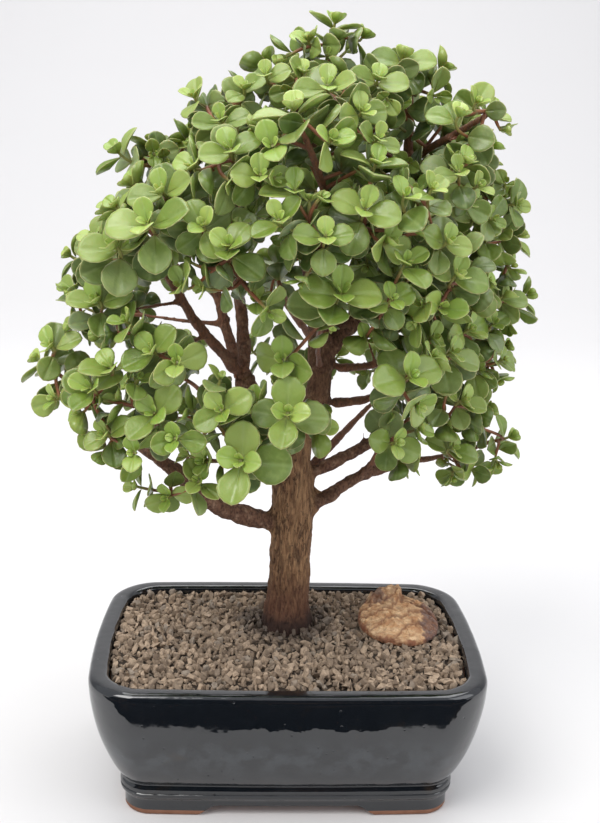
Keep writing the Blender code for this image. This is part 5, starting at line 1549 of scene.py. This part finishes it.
leaf_forms = collection_of("leaf_forms", [leaf_shape(*entry) for entry in enumerate(LEAF_FORMS)])
twig_values = {"Leaf_forms": leaf_forms, "Stem_sides": STEM_SIDES, "Stem_finish": young_stem(),
               "Leaf_finish": jade_leaf()}
twigs = twig_tree()
crown = Crown(wood.data)
draw = random.Random(2024)
plans = [plan_twig(entry) for entry in TWIGS]
grown = {name: [] for name, _ in plans}
for number, pair in enumerate(PAIRS):
    for name, stems in plans:
        for stem, size in stems:
            if number < TIP_PAIRS or stem.length() > (pair[0] + BARE_FOOT) * MM:
                grown[name] += grow_pair(crown, stem, pair, number, size, draw)
tips = [Vector(tip[:3]) * MM for entry in TWIGS for tip in entry[4]]
for name, stems in plans:
    for stem, size in side_shoots(stems, tips, draw):
        leaves = grow_shoot(crown, stem, size, draw)
        if len(leaves) >= SIDE_SHOOT_FEWEST:
            stems.append((stem, size))
            grown[name] += leaves
for (name, stems), stem, size in limb_shoots(wood.data, plans, tips, draw):
    leaves = grow_shoot(crown, stem, size, draw)
    if len(leaves) >= LIMB_SHOOT_FEWEST:
        stems.append((stem, size))
        grown[name] += leaves
for name, stems in plans:
    foliage = twig_plan(name + "_foliage", [stem for stem, _ in stems], grown[name])
    twigs.grow(foliage, **twig_values)
    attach(foliage, "root")
    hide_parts(name + "_shoots")
drop_collection(leaf_forms)


# ------------------------------------------------------- floor, light and camera
# A pale sweep of paper lit by large soft boxes. A small dark card in front, which only
# reflections can see, gives the glaze the dark band of a dim room.
EYE = Vector((-0.0180, -0.5831, 0.3462))
YAW, PITCH, ROLL = radians(2.23), radians(14.72), radians(1.39)
LENS = 50.3
SENSOR = 36.0
CLIP = (0.01, 20.0)
FLOOR_NEAR, FLOOR_FAR = -9.0, 2.4
FLOOR_HALF_WIDTH = 9.0
FLOOR_BEND = 1.2                  # radius with which the paper turns up into the wall
WALL_HEIGHT = 3.0
PAPER = (0.715, 0.706, 0.706)
PAPER_CLOUDS = (0.73, 0.72, 0.72)
CARD_WIDTH = 1.2
CARD_STEPS = 240
CARD_NEAR = -0.140
CARD_RISE = 0.0012                # above the floor
CARD_BACK = ((-0.33, CARD_RISE), (-0.40, 0.30))   # where it turns up and where it ends, Y and Z
CARD_BLACK = (0.006, 0.007, 0.009)
CARD_BROWN = (0.10, 0.06, 0.04)
SKY = (0.93, 0.95, 1.0, 1.0)
SKY_STRENGTH = 0.66


def make_floor():
    """Level paper that turns up into a wall far behind."""
    start = FLOOR_FAR - FLOOR_BEND
    section = [(FLOOR_NEAR, 0.0), (start, 0.0)]
    for angle in range(10, 90, 10):
        along, up = sin(radians(angle)), cos(radians(angle))
        section.append((start + FLOOR_BEND * along, FLOOR_BEND - FLOOR_BEND * up))
    section += [(FLOOR_FAR, FLOOR_BEND), (FLOOR_FAR, WALL_HEIGHT)]
    bm = bmesh.new()
    rows = [[bm.verts.new((x, y, z)) for x in (-FLOOR_HALF_WIDTH, FLOOR_HALF_WIDTH)] for y, z in section]
    for low, high in zip(rows, rows[1:]):
        bm.faces.new((low[0], low[1], high[1], high[0]))
    floor = object_from("studio_floor", bm)
    floor.data.shade_smooth()
    finish = Finish("studio_paper", Roughness=0.85)
    tone = finish.clouds(3.0, 2.0)
    dress(floor, finish.done(Base_Color=finish.mix(tone, PAPER, PAPER_CLOUDS)))


def soft_box(name, place, size, power, colour=(1.0, 1.0, 1.0), aim=(0.0, 0.0, 0.18)):
    lamp = bpy.data.lights.new(name, "AREA")
    lamp.shape = "RECTANGLE"
    lamp.size, lamp.size_y = size
    lamp.energy = power
    lamp.color = colour
    made = add_object(name, lamp)
    made.location = place
    made.rotation_euler = (Vector(aim) - Vector(place)).to_track_quat("-Z", "Y").to_euler()


def dark_card():
    """A strip on the floor with a torn near edge, turned up at its far side."""
    bm = bmesh.new()
    rows = []
    for step in range(CARD_STEPS + 1):
        x = CARD_WIDTH * (step / CARD_STEPS - 0.5)
        across = Vector((x, 0, 0))
        torn = ripple(across, 45, 0.007, (0, 2, 0)) + ripple(across, 170, 0.004, (0, 5, 0))
        edge = (CARD_NEAR + torn, CARD_RISE)
        rows.append([bm.verts.new((x, y, z)) for y, z in (edge, *CARD_BACK)])
    for first, second in zip(rows, rows[1:]):
        for i in (0, 1):
            bm.faces.new((first[i], second[i], second[i + 1], first[i + 1]))
    card = object_from("dark_card", bm)
    finish = Finish("dark_card_cloth", Roughness=1.0)
    colour = finish.coat(CARD_BLACK, CARD_BROWN, finish.clouds(9.0), 0.5, 0.7)
    dress(card, finish.done(Base_Color=colour))
    card.visible_camera = False
    card.visible_diffuse = False
    card.visible_shadow = False
    card.visible_transmission = False


make_floor()
dark_card()
soft_box("key_light", (-0.9, -0.9, 1.7), (1.2, 1.2), 26.0, (1.0, 0.985, 0.96))
soft_box("fill_light", (1.3, -0.7, 1.1), (1.4, 1.4), 9.0, (0.96, 0.98, 1.0))
soft_box("top_light", (0.1, 0.5, 1.9), (1.6, 1.6), 19.0)
soft_box("wall_light", (0.0, 0.9, 2.2), (1.6, 0.8), 10.0, aim=(0.0, 2.4, 0.9))
world = bpy.data.worlds.new("studio")
bpy.context.scene.world = world
world.use_nodes = True
background = world.node_tree.nodes["Background"]
background.inputs["Color"].default_value = SKY
background.inputs["Strength"].default_value = SKY_STRENGTH

camera_data = bpy.data.cameras.new("camera")
camera_data.lens = LENS
camera_data.sensor_width = SENSOR
camera = add_object("camera", camera_data)
forward = Vector((sin(YAW) * cos(PITCH), cos(YAW) * cos(PITCH), -sin(PITCH)))
level = Vector((cos(YAW), -sin(YAW), 0.0))
up = level.cross(forward)
right = cos(ROLL) * level + sin(ROLL) * up
upright = -sin(ROLL) * level + cos(ROLL) * up
camera.matrix_world = Matrix.Translation(EYE) @ Matrix((right, upright, -forward)).transposed().to_4x4()
camera_data.clip_start, camera_data.clip_end = CLIP
bpy.context.scene.camera = camera
bpy.context.scene.view_settings.view_transform = "Standard"
